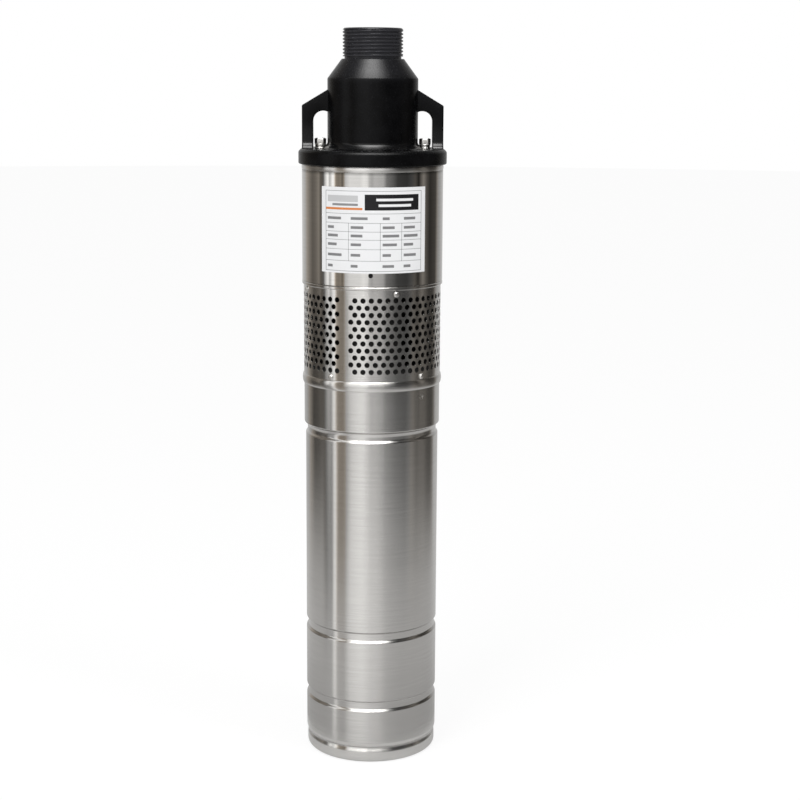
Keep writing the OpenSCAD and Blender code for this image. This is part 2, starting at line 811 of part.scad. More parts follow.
// Screwed cable entry on top of the motor
module gland_body() {
    color([0.75, 0.63, 0.35]) translate([0, gland_pcr, 0]) difference() {
        union() {
            rod(gland_r, shell_z1 - 12, shell_z1 + 1);
            hex_rod(gland_flats, shell_z1, shell_z1 + gland_hex_h);
            rod(gland_nut_r - 2, shell_z1 + gland_hex_h - 1, shell_z1 + gland_hex_h + 7);
        }
        rod(cable_d / 2 + grommet_wall + fit, shell_z1 - 8, top_z);
        rod(lead_way_r, shell_z1 - 13, shell_z1);
    }
}

module gland_nut() {
    z0 = shell_z1 + gland_hex_h;
    color([0.75, 0.63, 0.35]) translate([0, gland_pcr, 0]) difference() {
        rod(gland_nut_r, z0 + fit, z0 + gland_nut_h);
        rod(gland_nut_r - 2 + fit, z0 - 1, z0 + 8);
        rod(cable_d / 2 + grommet_wall + fit, z0, z0 + gland_nut_h + 1);
    }
}

module gland_grommet() {
    color([0.1, 0.1, 0.1]) translate([0, gland_pcr, 0])
        ring(cable_d / 2, cable_d / 2 + grommet_wall, shell_z1 - 8, shell_z1 + gland_hex_h + gland_nut_h);
}

// Depth of the rolled groove in the middle of z, at a height: a level floor between two rounded flanks
function groove(height, z) =
    let (
        place = (height - z) / groove_half_h,
        share = place > groove_floor_top ? (1 - place) / (1 - groove_floor_top)
            : place < groove_floor_low ? (1 + place) / (1 + groove_floor_low) : 1
    )
    abs(place) < 1 ? groove_depth * (1 - cos(180 * share)) / 2 : 0;

// Outside radius of the motor shell at a height
function shell_outline(height) =
    let (
        rise = min(1, max(0, (height - top_groove_z) / groove_half_h)),
        curl = max(0, 1 - (height - shell_z0) / curl_h)
    )
    shell_r + (shell_top_r - shell_r) * (1 - cos(180 * rise)) / 2 - (shell_r - cap_r + curl_depth) * curl * curl
        - groove(height, low_groove_z) - groove(height, mid_groove_z) - groove(height, top_groove_z);

// One sheet tube with rolled grooves and a curled lower edge
module motor_shell() {
    steps = 28;
    heights = concat(
        [for (i = [0 : 4]) shell_z0 + curl_h * i / 4],
        [for (z = [low_groove_z, mid_groove_z, top_groove_z]) for (i = [0 : steps])
            z + groove_half_h * (2 * i / steps - 1)],
        [shell_z1]
    );
    last = len(heights) - 1;
    color([0.74, 0.73, 0.71]) difference() {
        turned(concat(
            [for (height = heights) [shell_outline(height), height]],
            [for (i = [last : -1 : 0]) [shell_outline(heights[i]) - shell_wall, heights[i]]]
        ));
        around(shell_screws_at) radial_rod(shell_screw_head_r + fit, housing_r - 3, lip_r + 1, shell_screw_z);
    }
}

// Flush screws that hold the shell to the upper housing
module shell_screws() {
    slot = 0.8;
    color([0.7, 0.7, 0.69]) around(shell_screws_at) difference() {
        union() {
            radial_rod(shell_screw_head_r, housing_r + fit, shell_top_r - 0.15, shell_screw_z);
            radial_rod(screw_r, housing_r - screw_len, housing_r + 0.5, shell_screw_z);
        }
        translate([shell_top_r - 0.7, -shell_screw_head_r, shell_screw_z - slot / 2])
            cube([2, 2 * shell_screw_head_r, slot]);
    }
}

// Motor end with the upper bearing, the seal seat and the cable entry
module upper_housing() {
    seat_z0 = seal_z - seal_seat_h;
    bearing_z1 = upper_bearing_z + bearing_w;
    color([0.5, 0.5, 0.5]) difference() {
        turned([
            [bearing_r + fit, housing_z0], [boss_r, housing_z0], [boss_r, bearing_z1],
            [housing_r - 5, bearing_z1], [housing_r - 5, housing_z0], [housing_r, housing_z0],
            [housing_r, shell_z1], [boss_r, shell_z1], [boss_r, seal_z], [seal_seat_r + fit, seal_z],
            [seal_seat_r + fit, seat_z0], [shaft_r + air, seat_z0], [shaft_r + air, bearing_z1],
            [bearing_r + fit, bearing_z1]
        ]);
        ring(housing_r - 2 * seal_section_r - fit, housing_r + 1,
            housing_seal_z - seal_section_r - fit, housing_seal_z + seal_section_r + fit);
        translate([0, gland_pcr, 0]) rod(gland_r + fit, housing_z0, shell_z1 + 1);
        around(bracket_screws_at) translate([bracket_screw_pcr, 0, 0])
            rod(bracket_screw_r + fit, housing_z0, shell_z1 + 1);
        around(shell_screws_at) radial_rod(screw_r + fit, housing_r - screw_len, housing_r + 2, shell_screw_z);
    }
}

module housing_o_ring() {
    color([0.1, 0.1, 0.1])
        round_ring(housing_r - seal_section_r + fit / 2, seal_section_r - fit / 2, housing_seal_z);
}

module bearing_outer(z0) {
    color([0.78, 0.78, 0.78]) difference() {
        ring(bearing_r - race_wall, bearing_r, z0, z0 + bearing_w);
        round_ring(bearing_pitch_r, race_r, z0 + bearing_w / 2);
    }
}

module bearing_inner(z0) {
    color([0.78, 0.78, 0.78]) difference() {
        ring(bearing_bore_r, bearing_bore_r + race_wall, z0, z0 + bearing_w);
        round_ring(bearing_pitch_r, race_r, z0 + bearing_w / 2);
    }
}

// Balls of one bearing in their cage
module ball_set(z0) {
    color([0.85, 0.85, 0.85]) translate([0, 0, z0 + bearing_w / 2]) {
        ring(bearing_pitch_r - 0.8, bearing_pitch_r + 0.8, -1, 1);
        around([0 : 360 / balls : 359]) translate([bearing_pitch_r, 0, 0]) sphere(r = ball_r, $fn = 32);
    }
}

// Motor end with the lower bearing, held by the middle groove
module lower_housing() {
    z1 = lower_housing_z + lower_housing_h;
    color([0.5, 0.5, 0.5]) difference() {
        turned([
            [bearing_r - 7, lower_housing_z], [stack_r, lower_housing_z], [stack_r, z1],
            [stack_r - 5, z1], [stack_r - 5, mid_groove_z], [boss_r, mid_groove_z], [boss_r, z1],
            [bearing_r + fit, z1], [bearing_r + fit, lower_bearing_z], [bearing_r - 7, lower_bearing_z]
        ]);
        ring(shell_in - groove_depth - 0.1, shell_r,
            mid_groove_z - groove_half_h - 0.2, mid_groove_z + groove_half_h + 0.2);
        around([45 : 90 : 315]) translate([31, 0, 0]) rod(4, lower_housing_z - 1, z1 + 1);
    }
}

// Lamination stack with open slots
module stator_core() {
    color([0.35, 0.35, 0.37]) translate([0, 0, stack_z0]) linear_extrude(stack_len) difference() {
        circle(r = stack_r);
        circle(r = stator_bore_r);
        around([0 : 360 / stator_slots : 359]) {
            translate([slot_r0, -1.8]) square([slot_r1 - slot_r0, 3.6]);
            translate([stator_bore_r - 1, -0.8]) square([slot_r0 - stator_bore_r + 2, 1.6]);
        }
    }
}

// Copper in the slots and the end turns
module stator_winding() {
    color([0.72, 0.42, 0.2]) {
        translate([0, 0, stack_z0 - 2]) linear_extrude(stack_len + 4)
            around([0 : 360 / stator_slots : 359])
                translate([slot_r0 + 0.15, -1.65]) square([slot_r1 - slot_r0 - 0.3, 3.3]);
        for (z = [stack_z0 - winding_h, stack_z1 + 0.2])
            ring(slot_r0, slot_r1 + 1, z, z + winding_h - 0.2);
    }
}

module rotor_core() {
    color([0.4, 0.4, 0.42]) translate([0, 0, stack_z0]) linear_extrude(stack_len) difference() {
        circle(r = rotor_r);
        circle(r = rotor_shaft_r + fit);
        around([0 : 360 / rotor_bars : 359]) translate([bar_pcr, 0]) circle(r = bar_r + fit, $fn = 24);
    }
}

// Cast bars and end rings
module rotor_cage() {
    color([0.75, 0.75, 0.76]) {
        around([0 : 360 / rotor_bars : 359]) translate([bar_pcr, 0, stack_z0 - 1])
            cylinder(r = bar_r, h = stack_len + 2, $fn = 24);
        for (z = [stack_z0 - end_ring_h, stack_z1]) ring(rotor_shaft_r + 4, rotor_r - 0.5, z, z + end_ring_h);
    }
}

module motor_shaft() {
    journal = bearing_bore_r - fit;
    bearing_z1 = upper_bearing_z + bearing_w;
    color([0.8, 0.8, 0.8]) difference() {
        turned([
            [0, lower_bearing_z - 2], [journal - 1, lower_bearing_z - 2], [journal, lower_bearing_z - 1],
            [journal, lower_bearing_z + bearing_w], [rotor_shaft_r, lower_bearing_z + bearing_w],
            [rotor_shaft_r, upper_bearing_z], [journal, upper_bearing_z], [journal, bearing_z1],
            [shaft_r, bearing_z1], [shaft_r, shaft_end], [0, shaft_end]
        ]);
        radial_rod(coupling_pin_r + fit, -coupling_r, coupling_r, coupling_pin_z);
    }
}

// Rubber cup that lets the motor oil expand
module diaphragm() {
    z0 = cap_spigot_z1;
    z1 = z0 + diaphragm_h;
    color([0.12, 0.12, 0.12]) turned([
        [diaphragm_r - diaphragm_t, z0], [stack_r - 0.2, z0], [stack_r - 0.2, z0 + diaphragm_t],
        [diaphragm_r, z0 + diaphragm_t], [diaphragm_top_r, z1], [0, z1], [0, z1 - diaphragm_t],
        [diaphragm_top_r - diaphragm_t, z1 - diaphragm_t]
    ]);
}

// Cup that closes the shell and carries the pump when it stands
module bottom_cap() {
    corner = [for (a = [0 : 15 : 90]) [cap_r - cap_round * (1 - sin(a)), cap_round * (1 - cos(a))]];
    spigot_r = stack_r;
    curl_r = cap_r - curl_depth - shell_wall - 0.15;
    shoulder = [for (a = [0 : 30 : 180]) [cap_r - curl_depth * (1 - cos(a)) / 2,
        shell_z0 - fit - curl_h * (1 - a / 180)]];
    color([0.7, 0.69, 0.67]) difference() {
        turned(concat([[0, 0]], corner, shoulder, [
            [curl_r, shell_z0 - fit], [curl_r, shell_z0 + curl_h + 0.3],
            [spigot_r, shell_z0 + curl_h + 0.6], [spigot_r, cap_spigot_z1],
            [spigot_r - cap_wall, cap_spigot_z1], [spigot_r - cap_wall, cap_floor], [0, cap_floor]
        ]));
        ring(spigot_r - 2 * seal_section_r - fit, spigot_r + 1,
            cap_seal_z - seal_section_r - fit, cap_seal_z + seal_section_r + fit);
        around([0 : 90 : 270]) translate([25, 0, 0]) rod(2, -1, cap_floor + 1);
    }
}

module cap_o_ring() {
    color([0.1, 0.1, 0.1]) round_ring(stack_r - seal_section_r + fit / 2, seal_section_r - fit / 2, cap_seal_z);
}

discharge_head();
head_bolts();
head_washers();
head_o_ring();
valve_seat();
valve_poppet();
valve_seal();
valve_spring();
valve_guide();
discharge_plate();
top_bush();
journal_sleeve();
shaft_nut();
pump_sleeve();
sleeve_screws();
stage_cup(0);  // stage_cup_1
stage_cup(1);  // stage_cup_2
stage_cup(2);  // stage_cup_3
impeller(0);  // impeller_1
impeller(1);  // impeller_2
impeller(2);  // impeller_3
diffuser(0);  // diffuser_1
diffuser(1);  // diffuser_2
diffuser(2);  // diffuser_3
pump_shaft();
intake_bracket();
bracket_screws();
strainer();
strainer_screws();
coupling();
coupling_pin();
sand_slinger();
seal_seat();
seal_face();
seal_bellows();
gland_body();
gland_nut();
gland_grommet();
motor_shell();
shell_screws();
upper_housing();
housing_o_ring();
bearing_outer(upper_bearing_z);  // upper_bearing_outer
bearing_inner(upper_bearing_z);  // upper_bearing_inner
ball_set(upper_bearing_z);  // upper_ball_set
bearing_outer(lower_bearing_z);  // lower_bearing_outer
bearing_inner(lower_bearing_z);  // lower_bearing_inner
ball_set(lower_bearing_z);  // lower_ball_set
lower_housing();
stator_core();
stator_winding();
rotor_core();
rotor_cage();
motor_shaft();
diaphragm();
bottom_cap();
cap_o_ring();
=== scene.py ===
"""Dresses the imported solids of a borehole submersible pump: moulded head, brushed steel, label and stage."""
import json
import math

import bpy
import numpy as np
from mathutils import Matrix, Vector


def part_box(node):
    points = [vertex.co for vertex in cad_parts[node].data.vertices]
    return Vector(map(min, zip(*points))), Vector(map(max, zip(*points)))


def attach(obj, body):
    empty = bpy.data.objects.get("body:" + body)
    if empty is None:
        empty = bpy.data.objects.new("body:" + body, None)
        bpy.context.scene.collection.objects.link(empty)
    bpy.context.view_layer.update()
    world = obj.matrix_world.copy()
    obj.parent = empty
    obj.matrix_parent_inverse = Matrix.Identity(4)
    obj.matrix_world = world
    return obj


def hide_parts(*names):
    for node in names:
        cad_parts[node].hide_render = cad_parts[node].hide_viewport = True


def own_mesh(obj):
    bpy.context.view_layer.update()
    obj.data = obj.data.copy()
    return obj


bl_info = {
    "name": "Borehole pump dresser",
    "version": (1, 0, 0),
    "blender": (4, 5, 0),
    "location": "3D View > Sidebar > Pump",
    "description": "Builds the visible pieces and finishes of a borehole submersible pump",
    "category": "Object",
}

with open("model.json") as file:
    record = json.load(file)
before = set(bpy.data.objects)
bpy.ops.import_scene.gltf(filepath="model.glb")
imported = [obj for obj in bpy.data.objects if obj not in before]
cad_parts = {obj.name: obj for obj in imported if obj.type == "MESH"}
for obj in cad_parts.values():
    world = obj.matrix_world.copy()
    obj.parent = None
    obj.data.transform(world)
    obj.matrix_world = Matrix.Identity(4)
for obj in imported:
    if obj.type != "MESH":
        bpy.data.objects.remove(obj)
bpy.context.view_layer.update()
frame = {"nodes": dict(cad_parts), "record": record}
MM = 0.001
MOUNTS = {mount["name"]: mount for mount in frame["record"]["mounts"]}
THREAD = MOUNTS["outlet_thread"]["dims"]
HEAD_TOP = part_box("discharge_head")[1][2]
SLEEVE_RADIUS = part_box("pump_sleeve")[1][0]
SLEEVE_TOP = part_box("pump_sleeve")[1][2]
SHELL_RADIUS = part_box("motor_shell")[1][0]


class HeadSizes(bpy.types.PropertyGroup):
    """Sizes of the moulded discharge head."""

    thread_radius: bpy.props.FloatProperty(
        name="Thread radius", description="Radius over the crests of the outlet thread",
        default=THREAD["r_mm"] * MM, unit="LENGTH")
    thread_pitch: bpy.props.FloatProperty(
        name="Thread pitch", description="Height of one turn of the outlet thread",
        default=2.309 * MM, unit="LENGTH")
    thread_depth: bpy.props.FloatProperty(
        name="Thread depth", description="Depth of the thread from crest to root",
        default=1.05 * MM, unit="LENGTH")
    ear_thickness: bpy.props.FloatProperty(
        name="Ear thickness", description="Thickness of each lifting ear",
        default=10 * MM, unit="LENGTH")
    ear_edge: bpy.props.FloatProperty(
        name="Ear edge", description="Rounding of the long edges of the ears",
        default=0.9 * MM, unit="LENGTH")
    washer_slit: bpy.props.FloatProperty(
        name="Washer slit", description="Depth of the notch in the spring washers",
        default=0.6 * MM, unit="LENGTH")
    spring_wire: bpy.props.FloatProperty(
        name="Spring wire", description="Radius of the valve spring's wire",
        default=0.8 * MM, unit="LENGTH")
    spring_turns: bpy.props.IntProperty(
        name="Spring turns", description="Turns of the valve spring", default=5, min=2)


class LabelSizes(bpy.types.PropertyGroup):
    """Sizes of the rating label."""

    left: bpy.props.FloatProperty(
        name="Left edge", description="Angle of the left edge from the front",
        default=math.radians(-44), subtype="ANGLE")
    right: bpy.props.FloatProperty(
        name="Right edge", description="Angle of the right edge from the front",
        default=math.radians(46.3), subtype="ANGLE")
    low: bpy.props.FloatProperty(
        name="Lower edge", description="Height of the lower edge", default=0.3495, unit="LENGTH")
    high: bpy.props.FloatProperty(
        name="Upper edge", description="Height of the upper edge", default=0.4070, unit="LENGTH")
    thickness: bpy.props.FloatProperty(
        name="Thickness", description="Thickness of the label", default=0.16 * MM, unit="LENGTH")


class FinishColours(bpy.types.PropertyGroup):
    """Colours of the visible finishes."""

    steel: bpy.props.FloatVectorProperty(
        name="Brushed steel", description="Colour of the brushed sheet", subtype="COLOR",
        size=3, default=(0.615, 0.605, 0.59))
    plastic: bpy.props.FloatVectorProperty(
        name="Head plastic", description="Colour of the moulded head", subtype="COLOR",
        size=3, default=(0.003, 0.003, 0.0034))
    paper: bpy.props.FloatVectorProperty(
        name="Label", description="Colour of the label's face", subtype="COLOR",
        size=3, default=(0.90, 0.905, 0.915))
    ink: bpy.props.FloatVectorProperty(
        name="Label ink", description="Colour of the label's lines", subtype="COLOR",
        size=3, default=(0.012, 0.012, 0.014))


class StageSettings(bpy.types.PropertyGroup):
    """Where the camera stands and how bright the stage is."""

    distance: bpy.props.FloatProperty(
        name="Camera distance", description="Distance of the camera in front of the axis",
        default=1.190, unit="LENGTH")
    height: bpy.props.FloatProperty(
        name="Camera height", description="Height of the camera over the floor",
        default=0.481, unit="LENGTH")
    tilt: bpy.props.FloatProperty(
        name="Camera tilt", description="Angle that the camera looks down",
        default=math.radians(10.8), subtype="ANGLE")
    swing: bpy.props.FloatProperty(
        name="Camera swing", description="Angle that the camera looks past the axis to the right",
        default=math.radians(0.96), subtype="ANGLE")
    roll: bpy.props.FloatProperty(
        name="Camera roll", description="Angle that the camera is turned about its view",
        default=math.radians(0.35), subtype="ANGLE")
    lens: bpy.props.FloatProperty(
        name="Lens", description="Focal length for a 36 mm sensor, in millimetres", default=76.8)
    fill: bpy.props.FloatProperty(
        name="Fill", description="Strength of the light from all round", default=0.55)


class Value:
    """A shader socket that takes part in plain arithmetic."""

    def __init__(self, finish, socket):
        self.finish = finish
        self.socket = socket

    def math(self, operation, *terms):
        made = self.finish.node("ShaderNodeMath", {"operation": operation}, dict(enumerate(terms)))
        return Value(self.finish, made.outputs[0])

    def __add__(self, other):
        return self.math("ADD", self, other)

    def __sub__(self, other):
        return self.math("SUBTRACT", self, other)

    def __rsub__(self, other):
        return self.math("SUBTRACT", other, self)

    def __mul__(self, other):
        return self.math("MULTIPLY", self, other)

    def __gt__(self, other):
        return self.math("GREATER_THAN", self, other)

    def __lt__(self, other):
        return self.math("LESS_THAN", self, other)

    def __pow__(self, other):
        return self.math("POWER", self, other)

    def __abs__(self):
        return self.math("ABSOLUTE", self)

    def least(self, other):
        return self.math("MINIMUM", self, other)

    def fraction(self):
        return self.math("FRACT", self)

    def ramp(self, low, high):
        """Smooth step from 0 at low to 1 at high."""
        made = self.finish.node(
            "ShaderNodeMapRange", {"interpolation_type": "SMOOTHSTEP"},
            {"Value": self, "From Min": low, "From Max": high})
        return Value(self.finish, made.outputs["Result"])

    __radd__ = __add__
    __rmul__ = __mul__


class Finish:
    """The node tree of one material, or of the world, which its last call ends."""

    def __init__(self, name, owner=None):
        self.owner = owner or bpy.data.materials.new(name)
        self.owner.use_nodes = True
        self.tree = self.owner.node_tree
        self.tree.nodes.clear()

    def node(self, kind, settings=None, inputs=None):
        """Add a node: first its settings, then the values or links of its sockets."""
        made = self.tree.nodes.new(kind)
        for key, value in (settings or {}).items():
            setattr(made, key, value)
        for key, value in (inputs or {}).items():
            link = value.socket if isinstance(value, Value) else value
            if isinstance(link, bpy.types.NodeSocket):
                self.tree.links.new(link, made.inputs[key])
            else:
                made.inputs[key].default_value = value
        return made

    def end(self, shader, kind="ShaderNodeOutputMaterial"):
        """End the tree with a shader node, and give the material or world."""
        self.node(kind, inputs={"Surface": shader.outputs[0]})
        return self.owner

    def surface(self, **inputs):
        """The surface shader; an underscore in a name stands for a space."""
        named = {key.replace("_", " "): value for key, value in inputs.items()}
        return self.node("ShaderNodeBsdfPrincipled", inputs=named)

    def show(self, **inputs):
        """End the tree with the surface shader alone."""
        return self.end(self.surface(**inputs))

    def place(self):
        """Object coordinates as a vector socket and as three values."""
        spot = self.node("ShaderNodeTexCoord").outputs["Object"]
        parts = self.node("ShaderNodeSeparateXYZ", inputs={0: spot}).outputs
        return spot, Value(self, parts[0]), Value(self, parts[1]), Value(self, parts[2])

    def vector(self, x, y, z):
        return self.node("ShaderNodeCombineXYZ", inputs={0: x, 1: y, 2: z}).outputs[0]

    def noise(self, spot, scale, detail=3.0, roughness=0.55):
        made = self.node("ShaderNodeTexNoise", inputs={
            "Vector": spot, "Scale": scale, "Detail": detail, "Roughness": roughness})
        return Value(self, made.outputs[0])

    def streak(self, place, round_scale, height_scale, detail, roughness=0.55):
        """Noise drawn out level, by x, y and z: fine in height only."""
        x, y, z = place
        drawn = self.vector(x * round_scale, y * round_scale, z * height_scale)
        return self.noise(drawn, 1.0, detail, roughness)

    def cells(self, spot, scale):
        made = self.node("ShaderNodeTexVoronoi", inputs={"Vector": spot, "Scale": scale})
        return Value(self, made.outputs["Distance"])

    def mix(self, share, low, high):
        """Colour between low and high by share."""
        made = self.node("ShaderNodeMix", {"data_type": "RGBA"}, {0: share, 6: low, 7: high})
        return made.outputs[2]

    def tones(self, share, colour, low, high):
        """Colour from low times itself to high times itself by share."""
        return self.mix(share, shade(colour, low), shade(colour, high))

    def bump(self, height, distance, strength=1.0):
        made = self.node("ShaderNodeBump", inputs={
            "Height": height, "Distance": distance, "Strength": strength})
        return made.outputs[0]


def shade(colour, factor):
    """A colour times a factor, with full alpha."""
    return tuple(min(1.0, c * factor) for c in colour[:3]) + (1.0,)


# Heights on the head over which the cone's sheen, the thread's sheen and the foot's sheen set in; on the cone
# and thread part of the sheen is painted, as a paler colour
CONE_SHEEN = (0.474, 0.484)
THREAD_SHEEN = (0.4905, 0.4925)
FOOT_SHEEN = (0.4310, 0.4316)
# Heights over which the sheen of the foot ends
FOOT_SHEEN_END = (0.4346, 0.4356)
# Height over which a sheet has painted shade under its brim
BRIM_SHADE_DEPTH = 0.0024
# Radius inside which the intake bracket is near black and sandy
BRACKET_RIM = 0.0474
# Laminations in a metre of height, and wires in a metre across the winding
SHEETS = 2000.0
WIRES = 1100


def moulded_black(name, colour):
    """Satin black moulding: cloudy tone, fine pale flecks and a leathery grain. Its colour is paler on the
    cone and thread, a painted highlight, with a thin sheen on the cone and on the foot of the body."""
    finish = Finish(name)
    spot, _, _, z = finish.place()
    cloud = finish.noise(spot, scale=70.0, detail=4.0)
    grain = finish.noise(spot, scale=900.0, detail=4.0, roughness=0.65)
    fleck = finish.noise(spot, scale=2400.0, detail=2.0).ramp(0.62, 0.78)
    tone = finish.tones(cloud.ramp(0.3, 0.7), colour, 0.7, 1.5)
    tone = finish.mix(fleck * 0.5, tone, shade(colour, 9.0))
    cone = z.ramp(*CONE_SHEEN)
    # Painted highlight: a paler colour on the cone and the thread stands in for the light that they mirror
    pale_sheen = cone * 0.3 + z.ramp(*THREAD_SHEEN) * 0.7
    tone = finish.mix(pale_sheen, tone, shade(colour, 11.0))
    sleek = z.ramp(*FOOT_SHEEN) * (1 - z.ramp(*FOOT_SHEEN_END))
    rough = (0.19 + 0.10 * cloud + 0.06 * grain) * (1 - 0.5 * sleek)
    relief = (grain + 0.4 * fleck) * (1 - 0.8 * sleek)
    return finish.show(
        Base_Color=tone, Roughness=rough, Specular_IOR_Level=0.09,
        Coat_Weight=cone * 0.12 + sleek * 0.3, Coat_Roughness=0.2,
        Normal=finish.bump(relief, distance=0.00012, strength=0.5))


def brushing(finish, place, colour):
    """Streaks of a brush round the axis, and the tone that they give a colour."""
    streak = finish.streak(place, 26, 4200, detail=3.0, roughness=0.6)
    return streak, finish.tones(streak.ramp(0.25, 0.75), colour, 0.92, 1.06)


def brushed_sheet(name, colour, rough, relief=1.0, brim=1.0):
    """Stainless sheet brushed round the axis, with painted shade just under the height brim."""
    finish = Finish(name)
    spot, x, y, z = finish.place()
    streak, tone = brushing(finish, (x, y, z), colour)
    hair = finish.streak((x, y, z), 90, 15000, detail=2.0, roughness=0.5)
    smudge = finish.noise(spot, scale=22.0)
    tone = finish.mix(smudge.ramp(0.4, 0.9) * 0.25, tone, shade(colour, 0.86))
    # Painted shade: the sheet is darker just under its brim, below the rim over it
    tone = finish.mix(z.ramp(brim - BRIM_SHADE_DEPTH, brim) * 0.65, tone, shade(colour, 0.3))
    roughness = rough + 0.05 * relief * (streak - 0.5) + 0.06 * (smudge - 0.5)
    return finish.show(
        Base_Color=tone, Metallic=1.0, Roughness=roughness, Anisotropic=0.95, Anisotropic_Rotation=0.25,
        Normal=finish.bump(streak + hair, distance=0.000006, strength=0.5 * relief))


def cast_bracket(name, colour):
    """Cast bracket: brushed like the sheet outside its rim, near black and sandy inside it."""
    finish = Finish(name)
    spot, x, y, z = finish.place()
    outside = (x * x + y * y) ** 0.5 > BRACKET_RIM
    streak, bright = brushing(finish, (x, y, z), colour)
    sand = finish.noise(spot, scale=700.0, detail=4.0, roughness=0.7)
    dull = finish.tones(sand, colour, 0.015, 0.05)
    relief = outside * streak * 0.015 + (1 - outside) * sand
    return finish.show(
        Base_Color=finish.mix(outside, dull, bright), Metallic=outside * 0.6 + 0.4,
        Roughness=0.72 - outside * 0.52 + 0.1 * (streak - 0.5), Specular_IOR_Level=0.1,
        Anisotropic=0.9, Anisotropic_Rotation=0.25,
        Normal=finish.bump(relief, distance=0.0002, strength=0.4))


def turned_metal(name, colour, rough, scale=2600.0):
    """Turned or rolled metal: fine tool lines in height, faint stains."""
    finish = Finish(name)
    spot, *place = finish.place()
    line = finish.streak(place, 60, scale, detail=2.0)
    stain = finish.noise(spot, scale=160.0)
    tone = finish.tones(stain.ramp(0.3, 0.75), colour, 0.82, 1.08)
    roughness = rough + 0.12 * (line - 0.5) + 0.08 * (stain - 0.5)
    return finish.show(
        Base_Color=tone, Metallic=1.0, Roughness=roughness,
        Normal=finish.bump(line, distance=0.00002, strength=0.4))


def moulded_plain(name, colour, rough, grain_scale=1400.0):
    """Plain moulded plastic or rubber: cloudy tone and a fine grain."""
    finish = Finish(name)
    spot, *_ = finish.place()
    cloud = finish.noise(spot, scale=120.0)
    grain = finish.noise(spot, scale=grain_scale)
    tone = finish.tones(cloud.ramp(0.3, 0.7), colour, 0.82, 1.15)
    return finish.show(
        Base_Color=tone, Roughness=rough + 0.14 * (grain - 0.5),
        Normal=finish.bump(grain, distance=0.00006, strength=0.4))


def cast_skin(name, colour):
    """Cast iron: coarse sandy skin with darker pits."""
    finish = Finish(name)
    spot, *_ = finish.place()
    sand = finish.noise(spot, scale=700.0, detail=4.0, roughness=0.7)
    pit = finish.cells(spot, scale=420.0).ramp(0.05, 0.3)
    return finish.show(
        Base_Color=finish.tones(sand, colour, 0.6, 1.3), Metallic=0.85, Roughness=0.5 + 0.2 * (sand - 0.5),
        Normal=finish.bump(sand + 0.3 * pit, distance=0.0002, strength=0.5))


def stacked_sheet(name, colour):
    """Stacked laminations: half millimetre sheets as level lines, blued by heat."""
    finish = Finish(name)
    spot, _, _, z = finish.place()
    sheet = (z * SHEETS).fraction()
    gap = (abs(sheet - 0.5) * 2).ramp(0.7, 0.95)
    heat = finish.noise(spot, scale=50.0, detail=2.0)
    blued = (colour[0] * 0.8, colour[1] * 0.95, colour[2] * 1.4, 1)
    tone = finish.mix(heat, shade(colour, 0.8), blued)
    tone = finish.mix(gap * 0.7, tone, shade(colour, 0.3))
    return finish.show(
        Base_Color=tone, Metallic=0.9, Roughness=0.42 + 0.2 * gap,
        Normal=finish.bump(1 - gap, distance=0.00008, strength=0.6))


def wound_wire(name, colour):
    """Enamelled winding: wires side by side as fine ridges that run along the slots, with painted shade
    between the wires.
    """
    finish = Finish(name)
    spot, x, y, _ = finish.place()
    wire = finish.cells(finish.vector(x * WIRES, y * WIRES, 0.0), scale=1.0)
    cloud = finish.noise(spot, scale=200.0, detail=2.0)
    return finish.show(
        # Painted shade: each wire's colour darkens from its middle to its edges, between the wires
        Base_Color=finish.tones(wire, colour, 1.15, 0.45), Metallic=0.9, Roughness=0.32 + 0.1 * cloud,
        Coat_Weight=0.4, Coat_Roughness=0.2,
        Normal=finish.bump(1 - wire, distance=0.0003, strength=0.6))


# Rules of the label's table, as shares of its height and width
LABEL_ROWS = [0.695, 0.585, 0.485, 0.390, 0.280, 0.145]
LABEL_COLUMNS = [0.276, 0.556, 0.749]
# Left, right, low and high edges of the label's printed areas, as shares of its width and height
FRAME_OUT = (0.046, 0.954, 0.022, 0.960)
FRAME_IN = (0.052, 0.948, 0.029, 0.953)
BLOCK = (0.42, 0.92, 0.735, 0.918)
BLOCK_BARS = [(0.52, 0.86, 0.842, 0.872), (0.54, 0.84, 0.776, 0.806)]
HEADING = (0.07, 0.36, 0.830, 0.905)
HEADING_BAR = (0.12, 0.36, 0.785, 0.812)
ORANGE_RULE = (0.05, 0.40, 0.738, 0.764)
ORANGE = (0.72, 0.24, 0.07, 1.0)
# Left and right end of the table, half widths of its rules, and half height of its bars
TABLE_ENDS = (0.05, 0.95)
ROW_RULE = 0.003
COLUMN_RULE = 0.0022
BAR_HALF = 0.016
# Where the bars of the first column start, their least length and what chance adds to it
BAR_START = 0.07
BAR_LEAST = 0.05
BAR_CHANCE = 0.10


